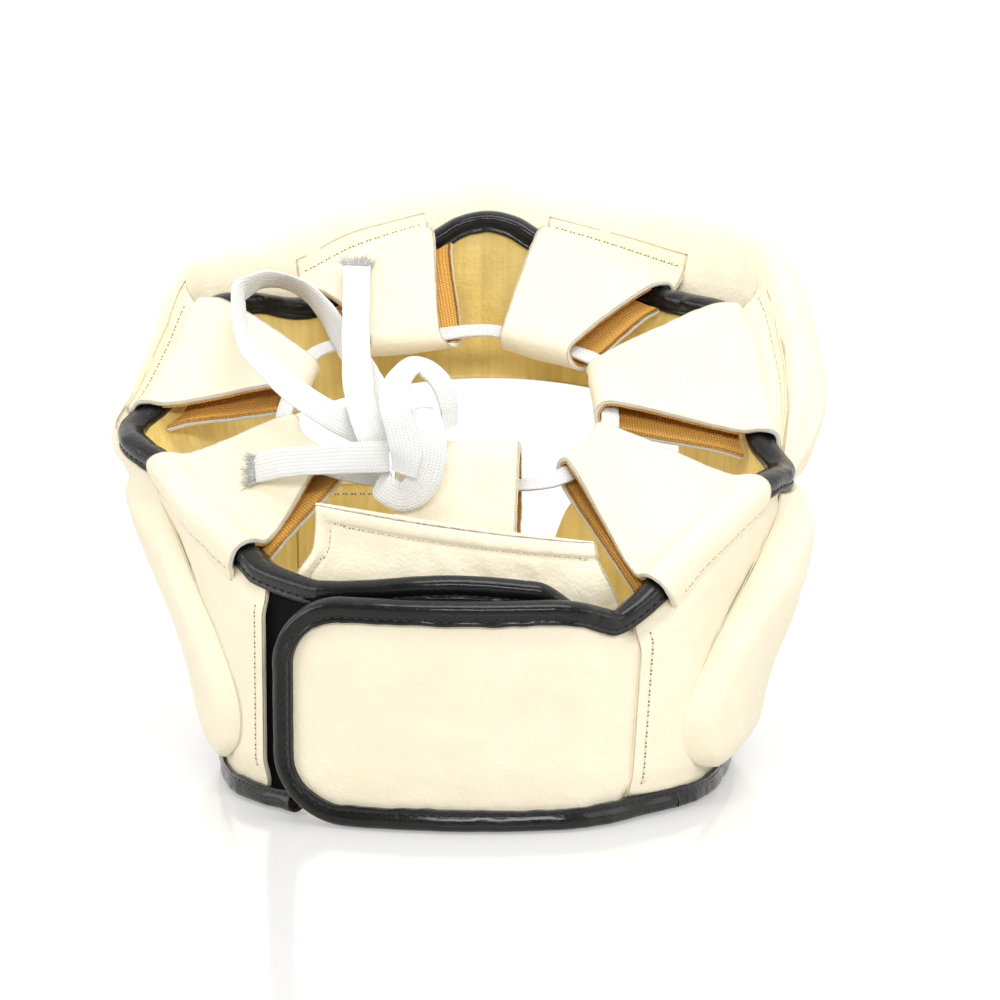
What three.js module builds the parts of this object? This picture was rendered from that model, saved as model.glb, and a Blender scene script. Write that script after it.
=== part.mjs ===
import * as THREE from 'three';

// All sizes in millimetres. X is the wearer's right, Y the wearer's front, Z up.
// Plan angles are in degrees from the front, positive to the wearer's right.

// Layer thicknesses, measured outward from the inner face of the lining
const GAP = 0.35;
const LINING = 2.0;
const EDGE = 3.0;
const WING = 5.0;
const LAYER_GAP = 0.7;
const SKIN_BACK = LINING + LAYER_GAP;

// Leather binding, folded over a raw edge
const BIND_LEATHER = 1.3;
const BIND_LEG = 6.0;

// Strap flaps of the crown
const FLAP_LEATHER = 1.8;
const FLAP_FABRIC = 0.7;
const FOLD_RADIUS = 6.5;
const FLAP_ATTACH = 9;

// Flat woven lace
const LACE_WIDTH = 10.6;
const LACE_GATHERED = 6.2;
const LACE_THICK = 2.0;

// Rear closure
const CLOSURE_LEATHER = 5.0;
const CLOSURE_TOP = 77.2;
const CLOSURE_FOOT = 1.8;
const CLOSURE_CORNER = 23;
const CLOSURE_INSET = 0.7;
const BACK_DEPTH = 112;
const BACK_BOW = 14;
const BACK_HALF = 62;

// Wing panels
const WING_SEAM = 146;
const WING_FRONT = 54;
const CHEEK_FRONT = 14;
const STATION = 4;
const WING_FOOT = 1.8;
const EDGE_BAND = 11;

// How sharply the wall flares towards the rim
const FLARE = 1.6;

const mix = (a, b, t) => a + (b - a) * t;
const clamp = (x, lo, hi) => Math.min(hi, Math.max(lo, x));
const rad = (deg) => deg * Math.PI / 180;
const ease = (t) => t * t * (3 - 2 * t);
const vec = (x, y, z) => new THREE.Vector3(x, y, z);
const UP = vec(0, 0, 1);

// A table is a list of rows with named columns; each column becomes a smooth
// function of the first one.
function table(columns, rows) {
  const xs = rows.map((row) => row[0]);
  const slope = (col, i) => {
    const a = Math.max(0, i - 1);
    const b = Math.min(rows.length - 1, i + 1);
    return (rows[b][col] - rows[a][col]) / (xs[b] - xs[a]);
  };
  const sample = (col) => (x) => {
    const at = clamp(x, xs[0], xs[xs.length - 1]);
    let i = 0;
    while (i < xs.length - 2 && at > xs[i + 1]) i += 1;
    const w = xs[i + 1] - xs[i];
    const t = (at - xs[i]) / w;
    const t2 = t * t;
    const t3 = t2 * t;
    return rows[i][col] * (2 * t3 - 3 * t2 + 1)
      + rows[i + 1][col] * (3 * t2 - 2 * t3)
      + slope(col, i) * w * (t3 - 2 * t2 + t)
      + slope(col, i + 1) * w * (t3 - t2);
  };
  const out = {};
  columns.forEach((name, col) => {
    out[name] = sample(col);
  });
  return out;
}

// Rim of the crown opening: it bows out between the straps and lies flat under them
const RIM = table(['angle', 'radius', 'height'], [
  [-152, 106, 80],
  [-143, 103, 83],
  [-134, 101, 89.5],
  [-120, 106, 101],
  [-107, 111, 112],
  [-98, 121, 118],
  [-91, 123, 121.5],
  [-84, 116, 128.5],
  [-76, 112, 143],
  [-67, 111, 160],
  [-58, 108, 162],
  [-44, 100, 159],
  [-30, 94, 172],
  [-15, 91, 183],
  [-9, 90.5, 188.6],
  [-2, 90, 191],
  [5, 89.5, 188.8],
  [11, 89, 183.5],
  [25, 91, 174],
  [40, 95, 164],
  [51, 97, 162],
  [61, 101, 159],
  [76, 98.5, 141],
  [92, 101, 119],
  [100, 110, 111],
  [108, 110, 110.5],
  [116, 109, 108],
  [125, 107, 100],
  [135, 107, 90],
  [143, 107, 79],
  [152, 106, 69],
]);

// Radius of the inner wall where it stands on the ground
const FOOT = table(['angle', 'radius'], [
  [-152, 105],
  [-135, 101],
  [-124, 95],
  [-112, 89],
  [-90, 86],
  [-60, 92],
  [0, 88],
  [60, 92],
  [90, 87],
  [112, 92],
  [124, 99],
  [135, 104],
  [152, 106],
]);

// Lower edge of the forehead pad
const BROW = table(['angle', 'height'], [
  [-99, 99],
  [-75, 106],
  [-55, 114],
  [-30, 124],
  [0, 128],
  [30, 124],
  [55, 114],
  [75, 106],
  [99, 99],
]);

// Forehead pad: how far it swells out and how high it stands above the rim
const FOREHEAD = table(['angle', 'bulge', 'lift'], [
  [-99, 10, 0],
  [-84, 12, 7],
  [-68, 18, 12],
  [-55, 26, 17],
  [-40, 33, 24],
  [-20, 35, 17],
  [0, 36, 10],
  [20, 35, 18],
  [40, 34, 27],
  [55, 32, 25],
  [68, 29.5, 18],
  [84, 25, 9],
  [99, 14, 0],
]);

// Forehead pad section from rim to brow: shares of the bulge, the lift and the drop
// from crest to brow, with the ledge beside the binding in millimetres
const FOREHEAD_SECTION = table(['step', 'bulge', 'ledge', 'lift', 'sink', 'drop'], [
  [0, 0, 0, 0, 0, 0],
  [1, 0, 0.2, 0, 11, 0],
  [2, 0, 4.6, 0, 11, 0],
  [3, 0.16, 4.2, 0.35, 3, 0],
  [4, 0.4, 2, 0.85, 0, 0],
  [5, 0.64, 0, 1, 0, 0.02],
  [6, 0.86, 0, 1, 0, 0.14],
  [7, 0.99, 0, 1, 0, 0.36],
  [8, 0.98, 0, 1, 0, 0.6],
  [9, 0.84, 0, 1, 0, 0.84],
  [10, 0.54, 0, 1, 0, 0.98],
  [11, 0.2, 0, 1, 0, 1.02],
  [12, 0, 0, 1, 0, 1],
]);
const FOREHEAD_STEPS = 12;

// Lower and upper edge of a wing from the face opening back to the brow
const CHEEK = table(['angle', 'foot', 'top'], [
  [14, 33, 58],
  [18, 18, 75],
  [22, 9, 82.5],
  [28, 3, 86],
  [33, 1.8, 87],
  [38, 1.8, 87.5],
  [46, 1.8, 90],
  [54, 1.8, 110],
  [58, 1.8, 111.5],
]);

// Rear seam of the ear pad, a line shaped like a J
const EAR_SEAM = table(['height', 'angle'], [
  [9, 121],
  [13, 130],
  [22, 136],
  [38, 135],
  [60, 125],
  [80, 112],
  [96, 104],
]);

// Lace ring drawn through the folds of the straps; tilt turns the flat lace outward and up
const RING = table(['angle', 'radius', 'height', 'tilt'], [
  [-180, 64, 111, -8],
  [-158, 71, 112, -32],
  [-140, 73, 115, -52],
  [-122, 73, 119, -38],
  [-90, 68, 131, -12],
  [-63, 68, 145, 18],
  [-31, 58, 147, 38],
  [0, 55, 150, 33],
  [20, 54, 146, 34],
  [45, 56, 142, 23],
  [75, 48, 137, -4],
  [100, 50, 126, -16],
  [135, 60, 116, -40],
  [156, 68, 111, -28],
  [180, 64, 111, -8],
  [202, 71, 112, -28],
]);

// Crown straps: edges on the rim and on the lace, and the step of the forehead section
// that a strap sewn to the pad reaches
const STRAPS = [
  { name: 'front_left', rim: [-42, -15], ring: [-47, -15], hem: 3.5 },
  { name: 'front_right', rim: [11, 42], ring: [7, 40], hem: 3.4 },
  { name: 'side_left', rim: [-87, -67], ring: [-89, -70], hem: 3.8 },
  { name: 'side_right', rim: [61, 92], ring: [55, 98], hem: 3.5 },
  { name: 'rear_left', rim: [-136, -107], ring: [-142, -106] },
  { name: 'rear_right', rim: [115, 142], ring: [112, 146] },
];

// Centre strap, which rises out of the back tongue: depth and height of its section
const CENTRE_STRAP = [
  [-87, 70],
  [-86.6, 84],
  [-83.6, 98],
  [-77.2, 111],
  [-72, 121],
  [-66, 125],
  [-60.6, 121.5],
  [-58.5, 112],
  [-61, 100],
  [-68, 88],
  [-74, 78],
];
const CENTRE_STRAP_HALF = 21;

// Routes of the tied lace ends; turn is how far the flat lace turns from facing the rear
const LACE_ROUTES = {
  lace_knot: [
    [-26.2, -77.2, 113.4, 30],
    [-23.4, -83, 111.2, 25],
    [-17.5, -86, 109.1, 20],
    [-12, -87, 112.6, 10],
    [-8.5, -87, 119.5, 5],
    [-7.7, -85, 127.2, 5],
    [-9.3, -80, 133.2, 15],
    [-13.2, -74, 137.2, 35],
  ],
  lace_bight: [
    [-2.8, -69.5, 131, 60],
    [-3.2, -70, 138.8, 55],
    [-5.3, -70, 145.6, 50],
    [-9.7, -70, 150.5, 50],
    [-14.9, -72, 152.5, 50],
    [-18.6, -76, 150, 40],
    [-20.5, -82, 145.3, 25],
    [-19.5, -88, 138.8, 10],
    [-17.2, -90.2, 131.4, 5],
    [-15.7, -90.9, 124.3, 10],
    [-16.7, -89.6, 117.9, 25],
  ],
  lace_bow: [
    [-27.2, -67, 125, 10],
    [-35.6, -65, 129.5, 15],
    [-44.3, -63, 133.5, 25],
    [-56.3, -56, 139.5, 30],
    [-69, -40, 146, 45],
    [-80.9, -15, 151.5, 62],
    [-88, 10, 159, 70],
    [-91.3, 30, 165.6, 68],
    [-90.7, 45, 167, 62],
    [-85.5, 55, 169, 60],
    [-78.3, 60, 168, 60],
    [-69.8, 56, 164.6, 56],
    [-61.9, 46, 159, 48],
    [-54.9, 33, 152.5, 38],
    [-48.6, 19.5, 147, 22],
    [-40.6, -3, 141.5, 12],
    [-33, -31, 136.5, 8],
    [-28.1, -54, 131.5, 5],
  ],
  lace_end_up: [
    [-27.2, -78.4, 122.4, 0],
    [-29, -77.6, 128.8, 0],
    [-32.4, -72, 135.8, 0],
    [-36.6, -51, 142, 5],
    [-40.5, -25, 148, 8],
    [-44.2, 3, 155.5, 8],
    [-47.7, 33, 162, 8],
    [-50.3, 56, 168.5, 8],
    [-51.7, 69, 173.5, 5],
  ],
  lace_end_left: [
    [-22.5, -82, 122.5, 0],
    [-28.8, -82.5, 122.3, 0],
    [-37.9, -80, 121.5, 5],
    [-47.5, -75, 120, 10],
    [-55.6, -69.5, 118.5, 12],
    [-63.2, -63, 116.8, 14],
    [-69.6, -57.5, 114.6, 14],
    [-73.3, -54, 113.2, 14],
  ],
};

// Inner wall and its outward directions
function wallPoint(angle, height, out = 0) {
  const share = clamp(height / RIM.height(angle), 0, 1);
  const r = mix(FOOT.radius(angle), RIM.radius(angle), share ** FLARE) + out;
  return vec(r * Math.sin(rad(angle)), r * Math.cos(rad(angle)), height);
}

// Place beside an edge of the wall: out through the wall, and up square to the edge
function besideEdge(height, angle, out, up) {
  const r = wallPoint(angle, height(angle)).setZ(0).length();
  const slope = (height(angle + 1) - height(angle - 1)) / (rad(2) * r);
  const rise = 1 / Math.hypot(1, slope);
  const shift = -slope * rise * up / r / rad(1);
  return wallPoint(angle + shift, height(angle) + rise * up, out);
}
const besideRim = (angle, out, up) => besideEdge(RIM.height, angle, out, up);
const besideFoot = (angle, out, up) => wallPoint(angle, WING_FOOT - up, out);
const rimSteep = (angle) => 1 / (besideRim(angle, 0, 1).z - RIM.height(angle));

// Curve of the rear closure in plan; out is measured away from the head
function backPoint(x, out, height) {
  const slope = 2 * BACK_BOW * x / (BACK_HALF * BACK_HALF);
  const n = vec(slope, -1, 0).normalize();
  const y = -BACK_DEPTH + BACK_BOW * (x / BACK_HALF) ** 2;
  return vec(x + n.x * out, y + n.y * out, height);
}

// A slab is closed by an outer sheet, an inner sheet and the strip around its edge
function slab(nu, nv, outer, inner) {
  const points = [];
  const sheet = (at) => {
    for (let i = 0; i <= nu; i += 1) {
      for (let j = 0; j <= nv; j += 1) {
        const p = at(i / nu, j / nv);
        points.push(p.x, p.y, p.z);
      }
    }
  };
  sheet(outer);
  sheet(inner);
  const half = (nu + 1) * (nv + 1);
  const id = (i, j, side) => side * half + i * (nv + 1) + j;
  const faces = [];
  const quad = (a, b, c, d) => faces.push(a, b, c, a, c, d);
  for (let i = 0; i < nu; i += 1) {
    for (let j = 0; j < nv; j += 1) {
      quad(id(i, j, 0), id(i + 1, j, 0), id(i + 1, j + 1, 0), id(i, j + 1, 0));
      quad(id(i, j, 1), id(i, j + 1, 1), id(i + 1, j + 1, 1), id(i + 1, j, 1));
    }
  }
  for (let i = 0; i < nu; i += 1) {
    quad(id(i, 0, 0), id(i, 0, 1), id(i + 1, 0, 1), id(i + 1, 0, 0));
    quad(id(i, nv, 0), id(i + 1, nv, 0), id(i + 1, nv, 1), id(i, nv, 1));
  }
  for (let j = 0; j < nv; j += 1) {
    quad(id(0, j, 0), id(0, j + 1, 0), id(0, j + 1, 1), id(0, j, 1));
    quad(id(nu, j, 0), id(nu, j, 1), id(nu, j + 1, 1), id(nu, j + 1, 0));
  }
  const geometry = new THREE.BufferGeometry();
  geometry.setAttribute('position', new THREE.Float32BufferAttribute(points, 3));
  geometry.setIndex(faces);
  faceOut(geometry);
  return geometry;
}

// Turns a closed shell so that its faces point outward
function faceOut(geometry) {
  const p = geometry.getAttribute('position');
  const index = geometry.getIndex();
  const a = vec(0, 0, 0);
  const b = vec(0, 0, 0);
  const c = vec(0, 0, 0);
  let volume = 0;
  for (let i = 0; i < index.count; i += 3) {
    a.fromBufferAttribute(p, index.getX(i));
    b.fromBufferAttribute(p, index.getX(i + 1));
    c.fromBufferAttribute(p, index.getX(i + 2));
    volume += a.dot(b.cross(c));
  }
  if (volume < 0) {
    for (let i = 0; i < index.count; i += 3) {
      const second = index.getX(i + 1);
      index.setX(i + 1, index.getX(i + 2));
      index.setX(i + 2, second);
    }
  }
  geometry.computeVertexNormals();
}

const LEATHER = { color: 0xefe3c4, roughness: 0.5, metalness: 0 };
const LINER = { color: 0xe2cfa0, roughness: 0.6, metalness: 0 };
const BLACK = { color: 0x141414, roughness: 0.4, metalness: 0 };
const FELT = { color: 0x1c1c1d, roughness: 0.95, metalness: 0 };
const FABRIC = { color: 0xc98a3c, roughness: 0.85, metalness: 0 };
const LACE = { color: 0xf4f2ea, roughness: 0.8, metalness: 0 };

const part = new THREE.Group();
part.name = 'sparring_headgear';

function add(name, geometry, finish) {
  const mesh = new THREE.Mesh(geometry, new THREE.MeshStandardMaterial(finish));
  mesh.name = name;
  part.add(mesh);
}

// Inner lining, one leather band with the face opening cut out of its lower edge
function liningFoot(angle) {
  const side = Math.abs(angle);
  const cheek = ease(clamp((side - WING_FRONT + 4) / STATION, 0, 1));
  return mix(BROW.height(angle), WING_FOOT, cheek);
}

const stations = (from, to) => Math.round(Math.abs(to - from) / STATION);
const liningAt = (out) => (u, v) => {
  const angle = mix(-WING_SEAM, WING_SEAM, u);
  return wallPoint(angle, mix(RIM.height(angle), liningFoot(angle), v), out);
};
const LINING_STEPS = stations(-WING_SEAM, WING_SEAM);
add('inner_lining', slab(LINING_STEPS, 5, liningAt(LINING), liningAt(0)), LINER);

// Linings of the cheeks, which meet the band along the side of the face opening
const CHEEK_REAR = WING_FRONT - STATION;
const CHEEK_LINING_STEPS = 10;
const cheekLiningAt = (side, out) => (u, v) => {
  const angle = mix(CHEEK_REAR, CHEEK_FRONT, u);
  const height = mix(CHEEK.top(angle), CHEEK.foot(angle), v);
  const slant = STATION * (1 - height / BROW.height(CHEEK_REAR)) - GAP;
  return wallPoint(side * (angle + slant * (1 - u)), height, out);
};

// Forehead pad, a stuffed roll from ear to ear
const PAD_END = 98;
const PAD_ROUND = 20;
function foreheadAt(angle, step) {
  const end = clamp((PAD_END - Math.abs(angle)) / PAD_ROUND, 0, 1);
  const round = Math.sqrt(1 - (1 - end) ** 2);
  const lift = FOREHEAD.lift(angle) * round;
  const rim = RIM.height(angle);
  const drop = (rim + lift - BROW.height(angle)) * FOREHEAD_SECTION.drop(step);
  const sink = FOREHEAD_SECTION.sink(step) * rimSteep(angle);
  const full = rim + lift * FOREHEAD_SECTION.lift(step) - sink - drop;
  const groove = rim - FOREHEAD_SECTION.sink(1) * rimSteep(angle);
  const height = step < 1 ? full : mix(Math.min(full, groove), full, round);
  const swell = FOREHEAD.bulge(angle) * round * FOREHEAD_SECTION.bulge(step);
  const ledge = FOREHEAD_SECTION.ledge(step) * round;
  return wallPoint(angle, height, SKIN_BACK + EDGE + swell + ledge);
}
const foreheadOuter = (u, v) => foreheadAt(mix(-PAD_END, PAD_END, u), v * FOREHEAD_STEPS);
const foreheadInner = (u, v) => {
  const angle = mix(-PAD_END, PAD_END, u);
  return wallPoint(angle, mix(RIM.height(angle), BROW.height(angle), v), SKIN_BACK);
};
const PAD_STEPS = stations(-PAD_END, PAD_END);
add('forehead_pad', slab(PAD_STEPS, FOREHEAD_STEPS, foreheadOuter, foreheadInner), LEATHER);

// The two sides of the head, with how far each ear pad swells
const SIDES = [
  { label: 'left', side: -1, ear: 6 },
  { label: 'right', side: 1, ear: 15 },
];

// Wing panels, from the rear seam to the face opening
function wingTop(angle) {
  const side = Math.abs(angle);
  if (side < WING_FRONT + STATION) return CHEEK.top(side);
  const low = BROW.height(angle) - 1.2;
  const t = ease(clamp((side - PAD_END - 0.2) / (STATION - 0.2), 0, 1));
  return mix(low, RIM.height(angle), t);
}
const wingFoot = (angle) => CHEEK.foot(Math.abs(angle));

// Stuffing of the cheeks, between the face opening and the ear pad
const CHEEK_SWELL = 8;
function cheekSwell(angle, inset) {
  const side = Math.abs(angle);
  const along = ease(clamp((side - CHEEK_FRONT) / 12, 0, 1)) * ease(clamp((57 - side) / 8, 0, 1));
  return CHEEK_SWELL * along * ease(clamp(inset / 16, 0, 1));
}

// The back of a wing clears the line where its two linings meet
const CHEEK_MEET = WING_FRONT - STATION / 2;
const wingAt = (side, skin) => (u, v) => {
  const angle = side * mix(WING_SEAM, CHEEK_FRONT, u);
  const top = wingTop(angle);
  const foot = wingFoot(angle);
  const height = wingHeight(top, foot, v);
  const inset = Math.min(top - height, height - foot) - EDGE_BAND;
  const thick = mix(EDGE, WING, ease(clamp(inset / 5, 0, 1))) + cheekSwell(angle, inset);
  const clear = 0.9 * Math.exp(-(((Math.abs(angle) - CHEEK_MEET) / STATION) ** 2));
  return wallPoint(angle, height, SKIN_BACK + (skin ? thick : clear));
};
function wingHeight(top, foot, v) {
  const band = Math.min(EDGE_BAND, (top - foot) * 0.2);
  const rows = [top, top - band, top - band * 1.55, mix(top, foot, 0.42),
    mix(top, foot, 0.62), foot + band * 1.55, foot + band, foot];
  return rows[Math.round(v * (rows.length - 1))];
}
const WING_STEPS = stations(WING_SEAM, CHEEK_FRONT);
for (const { label, side } of SIDES) {
  add(`wing_${label}`, slab(WING_STEPS, 7, wingAt(side, 1), wingAt(side, 0)), LEATHER);
}

for (const { label, side } of SIDES) {
  const sheets = [LINING, 0].map((out) => cheekLiningAt(side, out));
  add(`cheek_lining_${label}`, slab(CHEEK_LINING_STEPS, 3, ...sheets), LINER);
}

// Ear pads, stuffed cushions on the outside of the wings
const EAR_BACK = SKIN_BACK + WING + 1.4;
const EAR_TOP = 96;
const EAR_FOOT = 9;
const earAt = (side, bulge) => (u, v) => {
  const height = mix(EAR_TOP, EAR_FOOT, v);
  const angle = side * mix(WING_FRONT + 4, EAR_SEAM.angle(height), u);
  const pu = Math.sqrt(Math.max(0, 1 - Math.abs(2 * u - 1) ** 2.6));
  const pv = Math.sqrt(Math.max(0, 1 - Math.abs(2 * v - 1) ** 5));
  const thick = bulge === 0 ? 0 : EDGE + bulge * pu * pv;
  return wallPoint(angle, height, EAR_BACK + thick);
};
for (const { label, side, ear } of SIDES) {
  add(`ear_pad_${label}`, slab(14, 12, earAt(side, ear), earAt(side, 0)), LEATHER);
}

// Binding section: two legs and a flattened round back over an edge
const BIND_BACK = 3;
function bindSection(from, to, leather) {
  const half = (to - from) / 2 + leather;
  const mid = (to + from) / 2;
  const points = [[mid - half, -BIND_LEG]];
  for (let i = 0; i <= BIND_BACK; i += 1) {
    const t = Math.PI * i / BIND_BACK;
    const rise = (LAYER_GAP + leather) * Math.sin(t) / Math.sin(Math.PI / BIND_BACK);
    points.push([mid - half * Math.cos(t), rise]);
  }
  points.push([mid + half, -BIND_LEG]);
  return points;
}

function binding(steps, placeAt, from, to) {
  const sections = [bindSection(from, to, BIND_LEATHER), bindSection(from, to, 0)];
  const last = sections[0].length - 1;
  const sheet = (which) => (u, v) => placeAt(u, ...sections[which][Math.round(v * last)]);
  return slab(steps, last, sheet(0), sheet(1));
}

const bindFrom = -LAYER_GAP;
const bindTo = SKIN_BACK + EDGE + 0.95;
const FOOT_BIND_END = 38;
const FOOT_BIND_STEPS = stations(WING_SEAM, FOOT_BIND_END);
const rimPlace = (u, out, up) => besideRim(mix(-WING_SEAM, WING_SEAM, u), out, up);
add('crown_binding', binding(LINING_STEPS, rimPlace, bindFrom, bindTo), BLACK);
for (const { label, side } of SIDES) {
  const footPlace = (u, out, up) => besideFoot(side * mix(WING_SEAM, FOOT_BIND_END, u), out, up);
  add(`foot_binding_${label}`, binding(FOOT_BIND_STEPS, footPlace, bindFrom, bindTo), BLACK);
}

// Rear closure: the outer flap, its hidden hook patch, the loop panel and the tab under it
const CLOSURE_RIGHT = 66;
const CLOSURE_LEFT = -57;
function closureSpan(x) {
  const dx = clamp(x - CLOSURE_LEFT, 0, CLOSURE_CORNER);
  const inset = CLOSURE_CORNER - Math.sqrt(CLOSURE_CORNER ** 2 - (CLOSURE_CORNER - dx) ** 2);
  const dip = 9 * Math.exp(-(((x - 57) / 11) ** 2));
  return [CLOSURE_FOOT + inset, CLOSURE_TOP - dip - inset];
}
const closureAt = (out) => (u, v) => {
  const x = mix(CLOSURE_LEFT, CLOSURE_RIGHT, u ** 1.35);
  const [low, high] = closureSpan(x);
  return backPoint(x + CLOSURE_INSET, out, mix(high - CLOSURE_INSET, low + CLOSURE_INSET, v));
};
add('closure_flap', slab(22, 4, closureAt(CLOSURE_LEATHER), closureAt(0)), LEATHER);

const PATCH = 1.6;
const TAB_OUT = -4.65;
const TAB = 4.2;
const patchAt = (x0, x1, z0, z1, out) => (u, v) => backPoint(mix(x0, x1, u), out, mix(z1, z0, v));
const patch = (x0, x1, z0, z1, out) => slab(
  12, 1, patchAt(x0, x1, z0, z1, out + PATCH), patchAt(x0, x1, z0, z1, out),
);
add('hook_patch', patch(-36, 36, 14, 66, -GAP - PATCH), FELT);
add('loop_panel', patch(-57, 42, 11, 71, TAB_OUT + GAP), FELT);

const TAB_LEFT = -54;
const TAB_RIGHT = 51;
function tabTop(x) {
  return 79.5 + 4.5 * Math.exp(-(((x - 2) / 34) ** 2));
}
const tabAt = (out) => (u, v) => {
  const x = mix(TAB_LEFT, TAB_RIGHT, u);
  return backPoint(x, out, mix(tabTop(x), WING_FOOT, v));
};
add('loop_tab', slab(14, 2, tabAt(TAB_OUT), tabAt(TAB_OUT - TAB)), LEATHER);

// Bindings of the closure flap and of the tab
const CLOSURE_PATH = 34;
function closureEdge(s) {
  const top = CLOSURE_RIGHT - CLOSURE_LEFT - CLOSURE_CORNER;
  const arc = CLOSURE_CORNER * Math.PI / 2;
  const side = CLOSURE_TOP - CLOSURE_FOOT - 2 * CLOSURE_CORNER;
  const total = 2 * top + 2 * arc + side;
  const d = s * total;
  const cx = CLOSURE_LEFT + CLOSURE_CORNER;
  if (d < top) {
    const x = CLOSURE_RIGHT - d;
    return [x, closureSpan(x)[1]];
  }
  if (d < top + arc) {
    const t = (d - top) / CLOSURE_CORNER;
    return [cx - CLOSURE_CORNER * Math.sin(t), CLOSURE_TOP - CLOSURE_CORNER * (1 - Math.cos(t))];
  }
  if (d < top + arc + side) return [CLOSURE_LEFT, CLOSURE_TOP - CLOSURE_CORNER - (d - top - arc)];
  if (d < top + 2 * arc + side) {
    const t = (d - top - arc - side) / CLOSURE_CORNER;
    return [cx - CLOSURE_CORNER * Math.cos(t), CLOSURE_FOOT + CLOSURE_CORNER * (1 - Math.sin(t))];
  }
  return [cx + d - top - 2 * arc - side, CLOSURE_FOOT];
}

// Place beside an edge drawn on the closure curve
function besideBack(edgeAt, base, s, out, up) {
  const [x, z] = edgeAt(s);
  const [x0, z0] = edgeAt(Math.max(0, s - 0.004));
  const [x1, z1] = edgeAt(Math.min(1, s + 0.004));
  const run = Math.hypot(x1 - x0, z1 - z0);
  return backPoint(x + up * (z1 - z0) / run, base + out, z - up * (x1 - x0) / run);
}
const closurePlace = (u, out, up) => besideBack(closureEdge, 0, u, out, up);
const closureTo = CLOSURE_LEATHER + GAP;
add('closure_binding', binding(CLOSURE_PATH, closurePlace, -GAP, closureTo), BLACK);

const tabEdge = (s) => {
  const x = mix(TAB_RIGHT, TAB_LEFT, s);
  return [x, tabTop(x)];
};
const tabPlace = (u, out, up) => besideBack(tabEdge, TAB_OUT - TAB, u, out, up);
add('tab_binding', binding(14, tabPlace, -GAP, TAB + GAP), BLACK);

// Back tongue, a soft inner panel with a rolled hem
const TONGUE_OUT = TAB_OUT - TAB - BIND_LEATHER - 2 * GAP - 0.6;
const TONGUE = 6;
const TONGUE_LEFT = -54;
const TONGUE_RIGHT = 54;
const TONGUE_SPREAD = 10;
const tongueAt = (skin) => (u, v) => {
  const top = mix(106, 94, u);
  const height = mix(top, 16, v);
  const right = TONGUE_RIGHT + TONGUE_SPREAD * ease(clamp((94 - height) / 26, 0, 1));
  const x = mix(TONGUE_LEFT, right, u);
  const puff = Math.sin(Math.PI * clamp(u, 0.02, 0.98)) ** 0.5 * (0.55 + 0.45 * Math.cos(v * 5));
  const lean = 5 * ease(clamp((height - 76) / 26, 0, 1));
  const bend = 4 * ease(clamp((x - 50) / 14, 0, 1));
  return backPoint(x, TONGUE_OUT - lean - bend - (skin ? 0 : 2.6 + (TONGUE - 2.6) * puff), height);
};
add('back_tongue', slab(14, 8, tongueAt(1), tongueAt(0)), LEATHER);

// A strap follows a path from its hem, over the rim, round the lace and back to the wall
const STRAP_STEPS = 15;
const STRAP_ACROSS = 4;
const STRAP_FLARE = 0.08;
const CREST = BIND_LEATHER + 2 * GAP + FLAP_LEATHER / 2 + 1.4;

function smoothPath(points) {
  const curve = new THREE.CatmullRomCurve3(points, false, 'centripetal');
  const out = [];
  for (let i = 0; i <= STRAP_STEPS; i += 1) out.push(curve.getPoint(i / STRAP_STEPS));
  return out;
}

function ringPoint(angle) {
  const r = RING.radius(angle);
  return vec(r * Math.sin(rad(angle)), r * Math.cos(rad(angle)), RING.height(angle));
}

function foldPoints(start, centre, end) {
  const toward = centre.clone().sub(start).normalize().add(centre.clone().sub(end).normalize());
  toward.normalize();
  const across = start.clone().sub(end);
  across.addScaledVector(toward, -across.dot(toward)).normalize();
  return [80, 40, 0, -40, -80].map((deg) => centre.clone()
    .addScaledVector(toward, FOLD_RADIUS * Math.cos(rad(deg)))
    .addScaledVector(across, FOLD_RADIUS * Math.sin(rad(deg))));
}

// Sewn end of a strap: on the swell of the forehead pad or down the outside of a wing
function strapHem(angle, hem) {
  const clear = GAP + FLAP_LEATHER / 2;
  if (Math.abs(angle) > PAD_END) {
    return [besideRim(angle, 8.4, -12), besideRim(angle, 9.9, -7.2)];
  }
  return [hem, hem - 0.4].map((step) => {
    const p = foreheadAt(angle, step);
    const du = foreheadAt(angle + 1, step).sub(foreheadAt(angle - 1, step));
    const dv = foreheadAt(angle, step + 0.3).sub(foreheadAt(angle, step - 0.3));
    const normal = new THREE.Vector3().crossVectors(du, dv).normalize();
    if (normal.z < 0) normal.negate();
    return p.addScaledVector(normal, clear + 0.5);
  });
}

function strapPath(strap, u) {
  const angle = mix(strap.rim[0], strap.rim[1], u);
  const over = [[9.6, 2.5], [2.8, CREST], [-4.4, CREST - 1]].map((at) => besideRim(angle, ...at));
  const wall = mix(strap.rim[0], strap.rim[1], mix(-STRAP_FLARE, 1 + STRAP_FLARE, u));
  const foot = besideRim(wall, -3.4, -FLAP_ATTACH);
  const ring = ringPoint(mix(strap.ring[0], strap.ring[1], u));
  const above = foot.clone().addScaledVector(ring.clone().sub(foot).normalize(), 7);
  return [...strapHem(angle, strap.hem), ...over, ...foldPoints(over[2], ring, above), above, foot];
}

function centrePath(u) {
  const x = mix(CENTRE_STRAP_HALF, -CENTRE_STRAP_HALF, u);
  return CENTRE_STRAP.map(([y, z]) => vec(x, y, z));
}

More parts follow.
